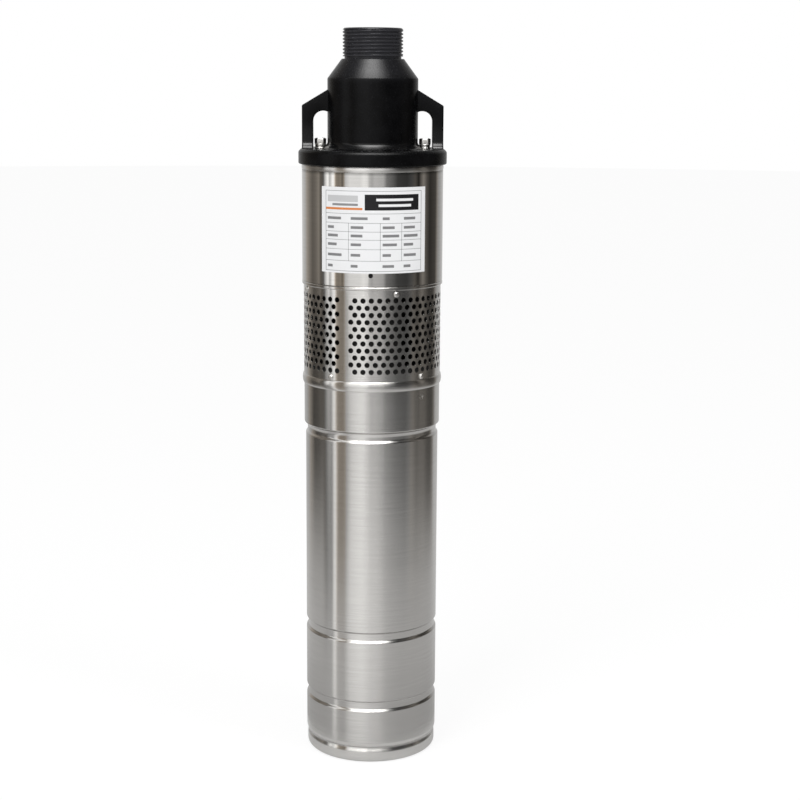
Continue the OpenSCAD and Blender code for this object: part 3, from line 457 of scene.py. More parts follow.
def printed_label(name, paper, ink):
    """Label print on its own map: frame line, heading blocks, table rules and grey bars of chance length."""
    finish = Finish(name)
    flat = finish.node("ShaderNodeUVMap", {"uv_map": "label"}).outputs[0]
    parts = finish.node("ShaderNodeSeparateXYZ", inputs={0: flat}).outputs
    u, v = Value(finish, parts[0]), Value(finish, parts[1])

    def within(value, low, high):
        return (value > low) * (value < high)

    def area(left, right, low, high):
        return within(u, left, right) * within(v, low, high)

    frame_line = area(*FRAME_OUT) - area(*FRAME_IN)
    lines = u * 0.0
    bars = u * 0.0
    row = u * 0.0
    for high, low in zip(LABEL_ROWS, LABEL_ROWS[1:] + [FRAME_OUT[2]]):
        lines = lines + area(*TABLE_ENDS, high - ROW_RULE, high + ROW_RULE)
        bars = bars + (abs(v - (high + low) / 2) < BAR_HALF)
        row = row + (v < low)
    column = u * 0.0
    start = u * 0.0 + BAR_START
    for left, before in zip(LABEL_COLUMNS, [TABLE_ENDS[0]] + LABEL_COLUMNS):
        lines = lines + area(left - COLUMN_RULE, left + COLUMN_RULE, LABEL_ROWS[-1], LABEL_ROWS[1])
        column = column + (u > left)
        start = start + (u > left) * (left - before)
    chance = finish.node(
        "ShaderNodeTexWhiteNoise", {"noise_dimensions": "2D"}, {"Vector": finish.vector(column, row, 0.0)})
    length = Value(finish, chance.outputs["Value"]) * BAR_CHANCE + BAR_LEAST
    bars = bars * within(u - start, 0.0, length)
    mottle = finish.noise(flat, scale=40.0)
    block = area(*BLOCK)
    for bar in BLOCK_BARS:
        block = block - area(*bar)
    heading = area(*HEADING) * 0.35 + area(*HEADING_BAR) * 0.7
    tone = finish.tones(mottle, paper, 0.97, 1.0)
    tone = finish.mix(area(*ORANGE_RULE), tone, ORANGE)
    dark = frame_line * 0.6 + lines * 0.6 + bars * 0.75 + block + heading
    tone = finish.mix(dark.least(1.0), tone, shade(ink, 1.0))
    return finish.show(Base_Color=tone, Roughness=0.42 + 0.1 * mottle, Specular_IOR_Level=0.2)


FINISHES = {}


def make_finishes(colours):
    """One material for each slot of the record, and a few of their own for chosen nodes."""
    steel = tuple(colours.steel)
    FINISHES.update({
        "black_plastic": moulded_black("moulded_black", tuple(colours.plastic)),
        "white_plastic": moulded_plain("natural_plastic", (0.75, 0.73, 0.66), 0.45),
        "stage_plastic": moulded_plain("stage_plastic", (0.10, 0.16, 0.24), 0.40),
        "bright_steel": turned_metal("bright_steel", (0.70, 0.69, 0.67), 0.33),
        "stainless": brushed_sheet("brushed_sheet", steel, 0.18),
        "rubber": moulded_plain("rubber", (0.022, 0.022, 0.023), 0.62, 2200.0),
        "brass": turned_metal("turned_brass", (0.72, 0.52, 0.20), 0.26),
        "seal_ring": moulded_plain("lapped_ring", (0.30, 0.30, 0.31), 0.18, 3000.0),
        "cast_iron": cast_skin("cast_skin", (0.20, 0.20, 0.21)),
        "laminations": stacked_sheet("stacked_sheet", (0.20, 0.20, 0.215)),
        "copper": wound_wire("wound_wire", (0.66, 0.30, 0.13)),
        "aluminium": turned_metal("cast_aluminium", (0.74, 0.74, 0.76), 0.38, 900.0),
        "sleeve": brushed_sheet("polished_sleeve", steel, 0.08, 0.06, SLEEVE_TOP),
        "plate": brushed_sheet("turned_plate", steel, 0.30, 0.3),
        "bracket": cast_bracket("cast_bracket", steel),
        "blackened": turned_metal("blackened_steel", (0.02, 0.02, 0.021), 0.36),
        "label": printed_label("printed_label", tuple(colours.paper), tuple(colours.ink)),
    })


OWN_FINISH = {
    "pump_sleeve": "sleeve", "discharge_plate": "plate", "intake_bracket": "bracket",
    "sleeve_screws": "blackened",
}


def smooth(value, low, high):
    """Smooth step from 0 at low to 1 at high."""
    t = np.clip((value - low) / (high - low), 0.0, 1.0)
    return t * t * (3 - 2 * t)


def window(value, low, full, last, high):
    """Rise from 0 at low to 1 at full, and fall from 1 at last to 0 at high."""
    return smooth(value, low, full) * (1 - smooth(value, last, high))


def grid_quads(rows, columns, close_rows, close_columns):
    """Corner numbers of the quads of a grid, wrapped round where it closes on itself."""
    i = np.arange(rows if close_rows else rows - 1)[:, None]
    j = np.arange(columns if close_columns else columns - 1)[None, :]
    up = (i + 1) % rows
    on = (j + 1) % columns
    corners = [i * columns + j, i * columns + on, up * columns + on, up * columns + j]
    return np.stack(np.broadcast_arrays(*corners), -1).reshape(-1, 4)


def soften(corners, steps=5):
    """Closed outline whose corners (r, z, round) become arcs: a quadratic curve across each corner."""
    spots = np.array([c[:2] for c in corners], float)
    rounds = np.array([c[2] for c in corners], float)[:, None]
    back = np.roll(spots, 1, 0) - spots
    ahead = np.roll(spots, -1, 0) - spots
    back_len = np.linalg.norm(back, axis=1, keepdims=True)
    ahead_len = np.linalg.norm(ahead, axis=1, keepdims=True)
    start = spots + back / back_len * np.minimum(rounds, back_len * 0.45)
    end = spots + ahead / ahead_len * np.minimum(rounds, ahead_len * 0.45)
    t = np.linspace(0, 1, steps)[None, :, None]
    arcs = (1 - t) ** 2 * start[:, None] + 2 * t * (1 - t) * spots[:, None] + t ** 2 * end[:, None]
    return arcs.reshape(-1, 2)


def split_long(outline, step):
    """Closed outline with points added so that no side is longer than step."""
    ahead = np.roll(outline, -1, 0)
    counts = np.maximum(1, np.ceil(np.linalg.norm(ahead - outline, axis=1) / step)).astype(int)
    which = np.repeat(np.arange(len(outline)), counts)
    share = (np.arange(len(which)) - np.repeat(np.cumsum(counts) - counts, counts)) / counts[which]
    return outline[which] + (ahead - outline)[which] * share[:, None]


# Angle between two faces from which their edge is sharp
SHARP = math.radians(50)


def new_mesh(name, points, faces, finish):
    """Mesh from points and faces, with one material."""
    mesh = bpy.data.meshes.new(name)
    mesh.from_pydata(points.reshape(-1, 3).tolist(), [], [list(face) for face in faces])
    mesh.materials.append(finish)
    return mesh


def add_object(name, data):
    """Put an object with its data into the scene."""
    made = bpy.data.objects.new(name, data)
    bpy.context.scene.collection.objects.link(made)
    return made


def add_piece(name, points, faces, slot, replaced=(), finish=None, body="housing"):
    """Make a piece at the origin from points and faces, hang it on its body and hide the nodes that it
    replaces. Its finish is that of the slot unless another is named."""
    mesh = new_mesh(name, points, faces, FINISHES[finish or slot])
    mesh.polygons.foreach_set("use_smooth", np.ones(len(mesh.polygons), bool))
    mesh.set_sharp_from_angle(angle=SHARP)
    mesh.update()
    piece = add_object(name, mesh)
    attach(piece, body)
    if replaced:
        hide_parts(*replaced)
    return piece


def turned(r, angle, z):
    """Points at radius r, angle and height z about the axis."""
    x = r * np.cos(angle)
    return np.stack([x, r * np.sin(angle), z + 0 * x], -1)


def from_front(r, angle, z):
    """Points at radius r and height z, at an angle from the front to the right."""
    x = r * np.sin(angle)
    return np.stack([x, -r * np.cos(angle), z + 0 * x], -1)


def capped(rows, columns):
    """Faces of a tube whose rows are rings, with a face over its first and its last ring."""
    first = list(range(columns))
    last = [(rows - 1) * columns + corner for corner in first]
    return grid_quads(rows, columns, False, True).tolist() + [first[::-1], last]


# Foot of the body and of the ears in millimetres: height, how far it stands out there, and rounding
FOOT_CORNERS = [(430.8, 3.4, 0.9), (432.7, 1.5, 1.2), (434.4, 0.0, 1.0)]
BODY_RADIUS = 31.15
# Corners of the head's outline in millimetres: radius, height and rounding
HEAD_CORNERS = [
    (29.03, 420.3, 0.3), (51.25, 420.3, 1.2), (51.25, 428.5, 0.6), (50.05, 430.0, 0.6), (48.85, 430.8, 0.6),
    *[(BODY_RADIUS + out, height, edge) for height, out, edge in FOOT_CORNERS],
    (BODY_RADIUS, 478.1, 0.6), (21.3, 491.4, 0.5), (19.475, 491.4, 0.3), (19.475, 493.0, 0.3),
    (20.955, 493.0, 0.3), (20.955, 510.7, 0.4), (19.6, 512.0, 0.4), (16.2, 512.0, 0.6), (16.2, 488.1, 0.6),
    (23.6, 472.1, 0.4), (26.0, 472.1, 0.4), (26.0, 425.3, 0.4), (29.03, 425.3, 0.3),
]
# Longest side of that outline in millimetres
LONGEST_SIDE = 0.9
# Foot of the thread, rows of points on it, and shares of half a pitch between which a flank falls
THREAD_LOW = 0.4930
THREAD_ROWS = 84
THREAD_FLANK = (0.28, 0.86)
# Height over which the thread runs in at its foot, and distances under the top between which it runs out
RUN_IN = 0.0010
RUN_OUT = (0.0018, 0.0008)
# Bolts: distance from the axis, and radius, soft edge and height of the spot face under each
BOLT_X = 0.036025
SPOT_RADIUS = 0.0041
SPOT_EDGE = 0.0005
SPOT_HEIGHT = 0.4306
# Heights between which the top of the flange lies, and its inner radius
FLANGE_TOP = (0.4285, 0.4360)
FLANGE_INSIDE = 0.0300
# Low mark on the front of the flange: half width, height, and the radii where it starts and ends
MARK_WIDTH = 0.0006
MARK_HEIGHT = 0.0005
MARK_RADII = (0.040, 0.041, 0.0475, 0.0485)


def head_surface(sizes, columns=320):
    """Turned outline P(t, a) = (r cos a, r sin a, z). On the thread r falls by depth times a rounded triangle
    of z / pitch - a / turn. Round each bolt the top of the flange is pressed level to its spot face, and at
    the front it rises to a low mark."""
    outline = split_long(soften(HEAD_CORNERS), LONGEST_SIDE) * MM
    on_thread = (outline[:, 0] > sizes.thread_radius - 0.0005) & (outline[:, 1] > THREAD_LOW - 0.0001)
    on_thread &= outline[:, 1] < HEAD_TOP - 0.001
    lowest, highest = np.nonzero(on_thread)[0][[0, -1]]
    wall = np.linspace(outline[lowest], outline[highest], THREAD_ROWS)
    outline = np.concatenate([outline[:lowest], wall, outline[highest + 1:]])
    angle = np.linspace(0, 2 * np.pi, columns, endpoint=False)[None, :]
    r = np.repeat(outline[:, :1], columns, 1)
    z = np.repeat(outline[:, 1:], columns, 1)
    outside = np.zeros(len(outline))
    outside[lowest:lowest + len(wall)] = 1
    turn = (z - THREAD_LOW) / sizes.thread_pitch - angle / (2 * np.pi)
    ridge = np.abs(2 * (turn - np.floor(turn)) - 1)
    form = smooth(ridge, *THREAD_FLANK)
    fade = window(z, THREAD_LOW, THREAD_LOW + RUN_IN, HEAD_TOP - RUN_OUT[0], HEAD_TOP - RUN_OUT[1])
    r = r - outside[:, None] * fade * form * sizes.thread_depth
    x = r * np.cos(angle)
    y = r * np.sin(angle)
    near = np.minimum(np.hypot(x - BOLT_X, y), np.hypot(x + BOLT_X, y))
    top = (z > FLANGE_TOP[0]) & (z < FLANGE_TOP[1]) & (r > FLANGE_INSIDE)
    press = top * (1 - smooth(near, SPOT_RADIUS, SPOT_RADIUS + SPOT_EDGE))
    z = z + press * (SPOT_HEIGHT - z)
    mark = top * np.exp(-(x / MARK_WIDTH) ** 2) * window(r, *MARK_RADII) * (y < 0)
    z = z + MARK_HEIGHT * mark
    return np.stack([x, y, z], -1), grid_quads(len(outline), columns, True, True)


# Right ear in millimetres: heights of the rows of its leg, and x of the leg's inner and outer edge
EAR_LEG = [426.0, 430.8, 432.4, 432.7, 433.0, 434.1, 434.4, 449.3]
EAR_IN = 40.9
EAR_OUT = 48.6
# Arch over the rope eye: x of its middle, level with the leg's end, its radius, and its sweep in degrees
ARCH_X = 33.9
ARCH_RADIUS = 7
ARCH_SWEEP = 134
# Height to which the outer edge rises upright, and the two ends of its slope
SHOULDER = 459.6
SLOPE = ([48.2, 460.25], [28.15, 472.3])


def ear_surface(sizes, side):
    """Rounded section carried from the flange up the leg and over into the body: P(s, t) lies between the
    inner edge (leg and arch) and the outer edge (leg and slope), with the section's corners rounded. Towards
    the flange the section grows thicker by the foot that the body has too."""

    def upright(x, heights):
        return np.stack([np.full(len(heights), x), heights], -1)

    bend_at = EAR_LEG[-1]
    sweep = np.radians(np.linspace(0, ARCH_SWEEP, 29))[1:]
    arch = np.stack([ARCH_X + ARCH_RADIUS * np.cos(sweep), bend_at + ARCH_RADIUS * np.sin(sweep)], -1)
    inner = np.concatenate([upright(EAR_IN, EAR_LEG), arch]) * MM
    rise = upright(EAR_OUT, np.linspace(bend_at, SHOULDER, 10)[1:])
    outer = np.concatenate([upright(EAR_OUT, EAR_LEG), rise, np.linspace(*SLOPE, 19)]) * MM
    middle = (inner + outer) / 2
    half = (outer - inner) / 2
    reach = np.linalg.norm(half, axis=1, keepdims=True)
    along = half / reach
    turn = np.radians(np.linspace(0, 90, 5))
    corner = sizes.ear_edge
    signs = np.array([(1, 1), (-1, 1), (-1, -1), (1, -1)])
    bend = np.stack([np.cos(turn), np.sin(turn)], -1)
    bends = np.stack([bend, bend[::-1], bend, bend[::-1]])
    out = (signs[:, None, 0] * (reach[:, :, None] - corner + corner * bends[..., 0])).reshape(len(inner), -1)
    foot_height, foot_out, _ = np.array(FOOT_CORNERS).T * MM
    foot = np.interp(middle[:, 1], foot_height, foot_out)[:, None, None]
    deep = signs[:, None, 1] * (sizes.ear_thickness / 2 + foot - corner + corner * bends[..., 1])
    x = side * (middle[:, :1] + along[:, :1] * out)
    z = middle[:, 1:] + along[:, 1:] * out
    y = deep.reshape(x.shape)
    points = np.stack([x, y, z], -1)
    quads = grid_quads(len(inner), x.shape[1], False, True)
    return points, quads if side < 0 else quads[:, ::-1]


# Corners of one bolt: radius, height and rounding in millimetres, and 1 where the outline is hexagonal
BOLT_CORNERS = [
    (1.5, 409.3, 0.05, 0), (1.8, 409.6, 0.1, 0), (1.8, 432.8, 0.05, 0), (3.9, 432.8, 0.25, 0),
    (3.9, 433.8, 0.35, 0), (3.3, 433.82, 0.05, 0), (3.5, 433.9, 0.05, 1), (3.5, 437.3, 0.2, 1),
    (3.1, 437.8, 0.2, 0), (2.9, 437.8, 0.05, 0),
]
# Corners of the flat washer and of the spring washer under each bolt: radius, height and rounding
WASHER_CORNERS = [
    [(1.95, 430.6, 0.1), (4.0, 430.6, 0.25), (4.0, 431.6, 0.42), (1.95, 431.6, 0.1)],
    [(1.95, 431.6, 0.1), (3.6, 431.6, 0.3), (3.6, 432.8, 0.4), (1.95, 432.8, 0.1)],
]
# Notch of a spring washer: half width as an angle, and the radius that it stays outside of
NOTCH_WIDTH = 0.1
NOTCH_INSIDE = 0.003
# Rings of points in one turn of the valve spring
COIL_RINGS = 24


def at_both_bolts(points, faces):
    """The same grid of points at the left and the right bolt."""
    flat = points.reshape(-1, 3)
    both = np.concatenate([flat - (BOLT_X, 0, 0), flat + (BOLT_X, 0, 0)])
    return both, faces + [[corner + len(flat) for corner in face] for face in faces]


def bolt_surface(columns=72, steps=5):
    """Turned outline from the shank up to the head, closed by level ends. On the head r grows by 1 / cos of
    the angle from the middle of the nearest of six flats."""
    kept = slice(steps - 1, 1 - steps)
    outline = soften(BOLT_CORNERS, steps)[kept] * MM
    six = np.repeat([corner[3] for corner in BOLT_CORNERS], steps)[kept, None]
    angle = np.linspace(0, 2 * np.pi, columns, endpoint=False)[None, :]
    flat = angle % (np.pi / 3) - np.pi / 6
    r = outline[:, :1] * (1 + six * (1 / np.cos(flat) - 1))
    return at_both_bolts(turned(r, angle, outline[:, 1:]), capped(len(outline), columns))


def washer_surface(corners, slit, columns=72):
    """Turned ring with soft edges, notched by slit at the angle 0."""
    outline = soften(corners) * MM
    angle = np.linspace(-np.pi, np.pi, columns, endpoint=False)[None, :]
    r = outline[:, :1] - slit * np.exp(-(angle / NOTCH_WIDTH) ** 2) * (outline[:, :1] > NOTCH_INSIDE)
    quads = grid_quads(len(outline), columns, True, True)
    return at_both_bolts(turned(r, angle, outline[:, 1:]), quads.tolist())


def coil_surface(sizes, low, high, outer, columns=10):
    """Wire swept round a helix: P(t, k) = ((R + w cos k) cos a, (R + w cos k) sin a, z + w sin k), where a
    is t turns and z rises evenly from low to high; both ends are closed."""
    rings = COIL_RINGS * sizes.spring_turns + 1
    wire = sizes.spring_wire
    angle = np.linspace(0, 2 * np.pi * sizes.spring_turns, rings)[:, None]
    k = np.linspace(0, 2 * np.pi, columns, endpoint=False)[None, :]
    r = outer - wire + wire * np.cos(k)
    z = np.linspace(low + wire, high - wire, rings)[:, None] + wire * np.sin(k)
    return turned(r, angle, z), [face[::-1] for face in capped(rings, columns)]


class PUMP_OT_finishes(bpy.types.Operator):
    """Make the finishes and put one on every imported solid."""

    bl_idname = "pump.finishes"
    bl_label = "Finishes"

    def execute(self, context):
        make_finishes(context.scene.pump_colours)
        for part in frame["record"]["subparts"]:
            slots = frame["nodes"][part["node"]].data.materials
            slots.clear()
            slots.append(FINISHES[OWN_FINISH.get(part["node"], part["material_slot"])])
        return {"FINISHED"}


class PUMP_OT_head(bpy.types.Operator):
    """Build the moulded discharge head with its outlet thread."""

    bl_idname = "pump.head"
    bl_label = "Discharge head"

    def execute(self, context):
        points, quads = head_surface(context.scene.pump_head)
        add_piece("head_moulding", points, quads, "black_plastic", ["discharge_head"])
        return {"FINISHED"}


class PUMP_OT_ears(bpy.types.Operator):
    """Build the two lifting ears of the head."""

    bl_idname = "pump.ears"
    bl_label = "Lifting ears"

    def execute(self, context):
        for name, side in (("lifting_ear_right", 1), ("lifting_ear_left", -1)):
            points, quads = ear_surface(context.scene.pump_head, side)
            add_piece(name, points, quads, "black_plastic")
        return {"FINISHED"}


class PUMP_OT_bolts(bpy.types.Operator):
    """Build the two head bolts and the washers under them, with soft edges."""

    bl_idname = "pump.bolts"
    bl_label = "Head bolts"

    def execute(self, context):
        plain, spring = WASHER_CORNERS
        points, faces = bolt_surface()
        add_piece("head_bolt_pair", points, faces, "bright_steel", ["head_bolts"])
        points, faces = washer_surface(plain, 0.0)
        add_piece("flat_washer_pair", points, faces, "bright_steel", ["head_washers"])
        points, faces = washer_surface(spring, context.scene.pump_head.washer_slit)
        add_piece("spring_washer_pair", points, faces, "bright_steel")
        return {"FINISHED"}


class PUMP_OT_spring(bpy.types.Operator):
    """Wind the valve spring over the height of the imported one; the share that the valve's lift would leave
    is worked out but not used.
    """

    bl_idname = "pump.spring"
    bl_label = "Valve spring"

    def execute(self, context):
        (_, _, low), (outer, _, high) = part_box("valve_spring")
        joints = {joint["name"]: joint for joint in frame["record"]["behaviour"]["joints"]}
        lift = joints["valve_lift"]["range_m"][1]
        points, faces = coil_surface(context.scene.pump_head, low, high, outer)
        piece = add_piece("valve_coil", points, faces, "bright_steel", ["valve_spring"])
        keep = 1 - lift / (high - low)
        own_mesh(piece)
        return {"FINISHED"}


class PUMP_OT_label(bpy.types.Operator):
    """Lay the rating label round the front of the pump sleeve."""

    bl_idname = "pump.label"
    bl_label = "Rating label"

    def execute(self, context):
        sizes = context.scene.pump_label
        columns, rows = 96, 40
        u = np.concatenate([[0.0], np.linspace(0, 1, columns), [1.0]])[None, :]
        v = np.concatenate([[0.0], np.linspace(0, 1, rows), [1.0]])[:, None]
        lift = np.full((rows + 2, columns + 2), sizes.thickness)
        lift[[0, -1], :] = 0.0
        lift[:, [0, -1]] = 0.0
        angle = sizes.left + (sizes.right - sizes.left) * u
        z = sizes.low + (sizes.high - sizes.low) * v
        points = from_front(SLEEVE_RADIUS + lift, angle, z)
        quads = grid_quads(rows + 2, columns + 2, False, False)
        piece = add_piece("rating_label", points, quads, "white_plastic", finish="label")
        flat = np.stack([u + 0 * v, v + 0 * u], -1).reshape(-1, 2)
        chart = piece.data.uv_layers.new(name="label")
        corners = np.zeros(len(piece.data.loops), np.int32)
        piece.data.loops.foreach_get("vertex_index", corners)
        chart.data.foreach_set("uv", flat[corners].ravel())
        return {"FINISHED"}


# Light that mirrors see round the pump, by the angle from the front to the right, and its level on the wall
WALL = [
    (-180, 0.72), (-159, 0.68), (-141, 0.55), (-125, 0.29), (-115, 0.17), (-108, 0.20), (-104, 0.24),
    (-97.5, 0.34), (-93.5, 0.16), (-86.5, 0.14), (-82, 0.9), (-78, 1.48), (-76, 1.4), (-74, 0.75),
    (-72, 0.85), (-68, 1.5), (-65, 1.4), (-61.5, 0.38), (-57, 0.28), (-52.5, 0.33), (-49.8, 0.15),
    (-47.5, 0.34), (-44, 0.78), (-37, 1.08), (-20, 1.05), (-14, 1.24), (-9, 1.15), (-5, 0.7), (-1, 0.56),
    (4, 0.69), (17, 0.60), (23, 0.22), (33, 0.14), (41, 0.06), (58, 0.045), (73, 0.105), (80.5, 0.02),
    (91, 0.29), (99, 0.11), (107, 0.04), (125, 0.08), (133, 0.34), (150, 0.54), (180, 0.70),
]
# The same at the foot of the wall
FAR = [
    (-180, 0.60), (-159, 0.54), (-136, 0.38), (-126, 0.20), (-118, 0.04), (-103, 0.03), (-95, 0.07),
    (-88, 0.12), (-82, 0.26), (-78, 0.30), (-73, 0.26), (-70.5, 0.8), (-67, 1.15), (-63.5, 0.7),
    (-61, 0.30), (-53, 0.28), (-46, 0.36), (-38, 0.58), (-29, 0.84), (-20, 1.0), (-13, 0.88), (-11, 0.70),
    (-1, 0.40), (8, 0.32), (16, 0.23), (22, 0.17), (32, 0.15), (44, 0.11), (59, 0.10), (73, 0.24),
    (85, 0.10), (102, 0.15), (113, 0.07), (123, 0.07), (131, 0.20), (139, 0.54), (180, 0.60),
]
# The same on the floor close to the pump
NEAR = [
    (-180, 0.62), (-76, 0.60), (-73, 0.66), (-70, 1.10), (-66, 1.10), (-63, 0.66), (-50, 0.64),
    (-38, 0.98), (-27, 1.06), (-18, 1.10), (-8, 1.02), (0, 0.93), (8, 0.88), (17, 0.80), (25, 0.70),
    (34, 0.65), (55, 0.61), (120, 0.58), (180, 0.62),
]
# Radius at which the floor close to the pump passes into the foot of the wall
REACH = [
    (-180, 0.66), (-96, 0.66), (-86, 0.40), (-72, 0.40), (-46, 0.46), (-36, 0.80), (0, 0.90), (30, 0.75),
    (60, 0.62), (180, 0.62),
]
# Outline of the room that mirrors see: radius and height, over the floor, up the wall and over the top
ROOM_FLOOR = 0.0006
ROOM_RADIUS = 1.6
FLOOR_RADII = [0.075, 0.10, 0.13, 0.17, 0.22, 0.28, 0.36, 0.45, 0.55, 0.65, 0.78, 0.95, 1.2]
WALL_HEIGHTS = [ROOM_FLOOR, 0.06, 0.11, 0.16, 0.3, 0.6, 0.9, 1.2, 1.5, 1.8]
ROOM = [
    *[(radius, ROOM_FLOOR) for radius in FLOOR_RADII], *[(ROOM_RADIUS, height) for height in WALL_HEIGHTS],
    (1.5, 2.2), (1.3, 2.55), (1.1, 2.75), (0.9, 2.9), (0.7, 3.0), (0.5, 3.07), (0.3, 3.12), (0.01, 3.15),
]
# Height from which rises in the room are reckoned, and heights over which the foot of the wall ends
EYE_HEIGHT = 0.3
WALL_FOOT = (0.06, 0.16)
# Shares of REACH over which the floor close by ends, and radii over which the pump's shade ends
NEAR_END = (0.75, 1.35)
SHADE_END = (0.06, 0.34)
# Glow in front and softbox high in front: level, window of angles, and rises in degrees
GLOW = 1.2
GLOW_ANGLES = (-50, -40, 22, 44)
GLOW_RISE = (6, 22)
SOFTBOX = 18.0
SOFTBOX_ANGLES = (-90, -24, 10, 86)
SOFTBOX_RISE = (58, 64, 78, 84)
# Brown walls of the room: share and window of angles; and the rises over which the brown ends
BROWN = [(1.0, (-66, -62, -47, -45)), (0.75, (-146, -132, -92, -84)), (0.6, (64, 74, 128, 140))]
BROWN_END = (40, 55)
PLAIN_TINT = np.array([1.0, 0.995, 0.985])
BROWN_TINT = np.array([1.0, 0.87, 0.72])
# Rings of the floor, and how far it lies under the base
FLOOR_RINGS = np.array([0.0001, 0.05, 0.15, 0.4, 1.0, 2.0, 4.0, 8.0])
FLOOR_DROP = 0.0002
WHITE = (1, 1, 1, 1)
# Lamps: name, place, width and height, and power; and the place that they are aimed at
LAMPS = [
    ("key_lamp", (-0.9, -1.5, 1.5), (0.9, 1.2), 16),
    ("side_lamp", (1.3, -0.9, 1.1), (0.5, 1.0), 6),
]
LAMP_AIM = Vector((0, 0, 0.3))
SENSOR_WIDTH = 36.0


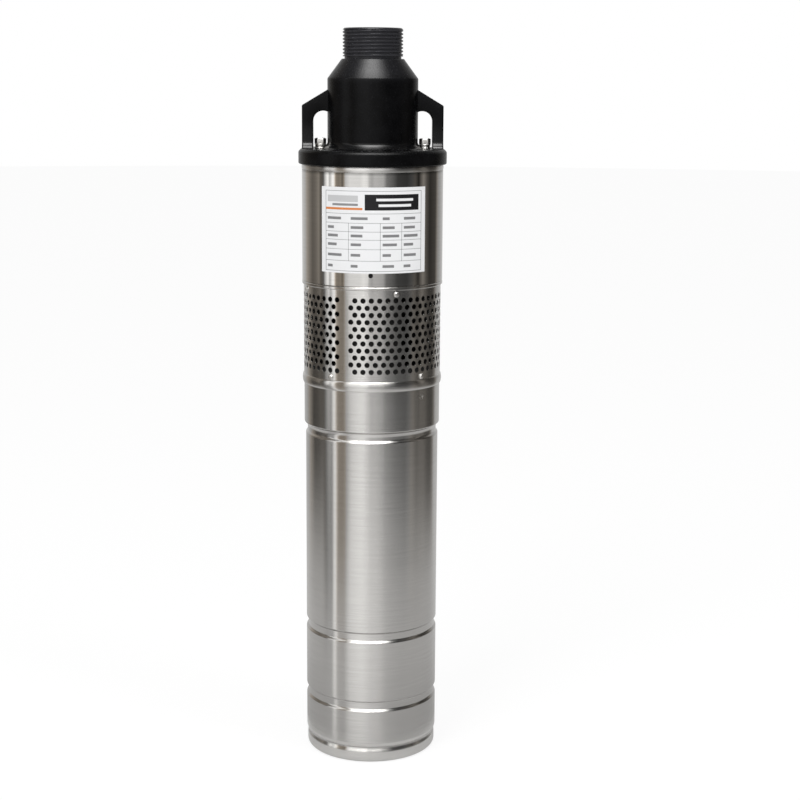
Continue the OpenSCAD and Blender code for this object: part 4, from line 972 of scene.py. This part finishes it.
class PUMP_OT_stage(bpy.types.Operator):
    """Set the floor, the room that mirrors see, the lamps, the light from all round and the camera."""

    bl_idname = "pump.stage"
    bl_label = "Stage"

    def put(self, name, points, faces, finish):
        """Stand a stage mesh in the scene."""
        made = add_object(name, new_mesh(name, points, faces, finish))
        return made

    def floor(self):
        """Round pale floor: rings of radius s and angle a at one height."""
        s = FLOOR_RINGS[:, None]
        a = np.linspace(0, 2 * np.pi, 96, endpoint=False)[None, :]
        finish = Finish("pale_floor")
        rays = finish.node("ShaderNodeLightPath").outputs
        seen = Value(finish, rays["Is Camera Ray"])
        mirrored = Value(finish, rays["Is Glossy Ray"]) + Value(finish, rays["Is Transmission Ray"])
        matt = finish.surface(Base_Color=(0.86, 0.86, 0.86, 1.0), Roughness=0.9, Specular_IOR_Level=0.0)
        light = finish.node("ShaderNodeEmission", inputs={"Color": WHITE, "Strength": 1.09})
        both = finish.node("ShaderNodeMixShader", inputs={
            0: seen * 0.8 + mirrored * 0.1, 1: matt.outputs[0], 2: light.outputs[0]})
        quads = grid_quads(s.size, a.size, False, True)
        self.put("floor", turned(s, a, -FLOOR_DROP), quads, finish.end(both))

    def room(self):
        """Room that only mirrors see, turned from its outline. Its level follows WALL, passes into FAR at the
        foot of the wall and into NEAR on the floor, and rises to a broad softbox high in front. Each angle is
        that of the ray which the shell mirrors to that place, so that upright bands stay upright in it."""
        outline = np.array(ROOM)
        angle = np.radians(np.arange(-180, 180, 0.5))[None, :]
        r, z = outline[:, :1], outline[:, 1:]
        ray = angle + 0 * r
        for _ in range(4):
            ray = angle + np.arcsin(np.clip(SHELL_RADIUS * np.sin(ray / 2) / r, -1, 1))
        degrees = np.degrees(ray)
        rise = np.degrees(np.arctan2(z - EYE_HEIGHT, r)) + 0 * angle

        def spread(levels):
            return np.interp(degrees, *np.array(levels).T)

        foot = 1 - smooth(z, *WALL_FOOT)
        level = spread(WALL) * (1 - foot) + spread(FAR) * foot
        near = (1 - smooth(r / spread(REACH), *NEAR_END)) * (z < 0.01)
        shaded = 0.75 + 0.25 * smooth(r, *SHADE_END)
        level = level * (1 - near) + spread(NEAR) * shaded * near
        level = level + GLOW * window(degrees, *GLOW_ANGLES) * smooth(rise, *GLOW_RISE)
        level = level + SOFTBOX * window(degrees, *SOFTBOX_ANGLES) * window(rise, *SOFTBOX_RISE)
        brown = sum(share * window(degrees, *angles) for share, angles in BROWN)
        brown = (brown * (1 - near) * (1 - smooth(rise, *BROWN_END)))[..., None]
        tint = PLAIN_TINT * (1 - brown) + BROWN_TINT * brown
        colour = np.concatenate([level[..., None] * tint, np.ones(level.shape + (1,))], -1)
        finish = Finish("mirror_room")
        glow = finish.node("ShaderNodeAttribute", {"attribute_name": "glow"}).outputs["Color"]
        light = finish.node("ShaderNodeEmission", inputs={"Color": glow, "Strength": 1.0})
        quads = grid_quads(len(outline), angle.size, False, True)
        made = self.put("mirror_room", from_front(r, angle, z), quads, finish.end(light))
        layer = made.data.attributes.new("glow", "FLOAT_COLOR", "POINT")
        layer.data.foreach_set("color", colour.ravel())
        made.visible_camera = False
        made.visible_diffuse = False
        made.visible_shadow = False
        made.visible_transmission = False

    def world(self, fill):
        """White to the camera and in mirrors, softer as light."""
        scene = bpy.context.scene
        scene.world = bpy.data.worlds.new("studio")
        sky = Finish("studio", scene.world)
        rays = sky.node("ShaderNodeLightPath").outputs
        seen = Value(sky, rays["Is Camera Ray"]) + Value(sky, rays["Is Glossy Ray"])
        seen = (seen + Value(sky, rays["Is Transmission Ray"])).least(1.0)
        plain = sky.node("ShaderNodeBackground", inputs={"Color": WHITE, "Strength": fill})
        white = sky.node("ShaderNodeBackground", inputs={"Color": WHITE, "Strength": 1.0})
        both = sky.node("ShaderNodeMixShader", inputs={0: seen, 1: plain.outputs[0], 2: white.outputs[0]})
        sky.end(both, "ShaderNodeOutputWorld")

    def lamp(self, name, spot, size, power):
        """Rectangular lamp that mirrors don't see."""
        data = bpy.data.lights.new(name, "AREA")
        data.shape = "RECTANGLE"
        data.size, data.size_y = size
        data.energy = power
        made = add_object(name, data)
        made.location = spot
        made.rotation_euler = (LAMP_AIM - Vector(spot)).to_track_quat("-Z", "Y").to_euler()
        made.visible_glossy = False

    def camera(self, settings):
        """Camera in front of the axis: turned by its roll, tipped down, then swung to the right."""
        data = bpy.data.cameras.new("camera")
        data.lens = settings.lens
        data.sensor_width = SENSOR_WIDTH
        made = add_object("camera", data)
        made.location = (0.0, -settings.distance, settings.height)
        tip = Matrix.Rotation(math.pi / 2 - settings.tilt, 3, "X")
        turn = Matrix.Rotation(-settings.swing, 3, "Z") @ tip @ Matrix.Rotation(settings.roll, 3, "Z")
        made.rotation_euler = turn.to_euler()
        bpy.context.scene.camera = made

    def execute(self, context):
        settings = context.scene.pump_stage
        context.scene.view_settings.view_transform = "Standard"
        self.camera(settings)
        self.floor()
        self.room()
        self.world(settings.fill)
        for lamp in LAMPS:
            self.lamp(*lamp)
        return {"FINISHED"}


class PUMP_PT_panel(bpy.types.Panel):
    """Lists the steps of the pump and their sizes."""

    bl_idname = "PUMP_PT_panel"
    bl_label = "Borehole pump"
    bl_space_type = "VIEW_3D"
    bl_region_type = "UI"
    bl_category = "Pump"

    def draw(self, context):
        for step in STEPS:
            self.layout.operator(step.bl_idname)
        for group in GROUPS:
            holder = getattr(context.scene, group)
            for key in holder.__annotations__:
                self.layout.prop(holder, key)


GROUPS = {
    "pump_head": HeadSizes, "pump_label": LabelSizes, "pump_colours": FinishColours,
    "pump_stage": StageSettings,
}
STEPS = [
    PUMP_OT_stage, PUMP_OT_finishes, PUMP_OT_head, PUMP_OT_ears, PUMP_OT_bolts, PUMP_OT_spring, PUMP_OT_label,
]


def register():
    for name, group in GROUPS.items():
        bpy.utils.register_class(group)
        setattr(bpy.types.Scene, name, bpy.props.PointerProperty(type=group))
    for step in STEPS:
        bpy.utils.register_class(step)
    bpy.utils.register_class(PUMP_PT_panel)


def unregister():
    bpy.utils.unregister_class(PUMP_PT_panel)
    for step in reversed(STEPS):
        bpy.utils.unregister_class(step)
    for name, group in GROUPS.items():
        delattr(bpy.types.Scene, name)
        bpy.utils.unregister_class(group)


def main():
    register()
    bpy.ops.pump.stage()
    bpy.ops.pump.finishes()
    bpy.ops.pump.head()
    bpy.ops.pump.ears()
    bpy.ops.pump.bolts()
    bpy.ops.pump.spring()
    bpy.ops.pump.label()


if __name__ == "__main__":
    main()
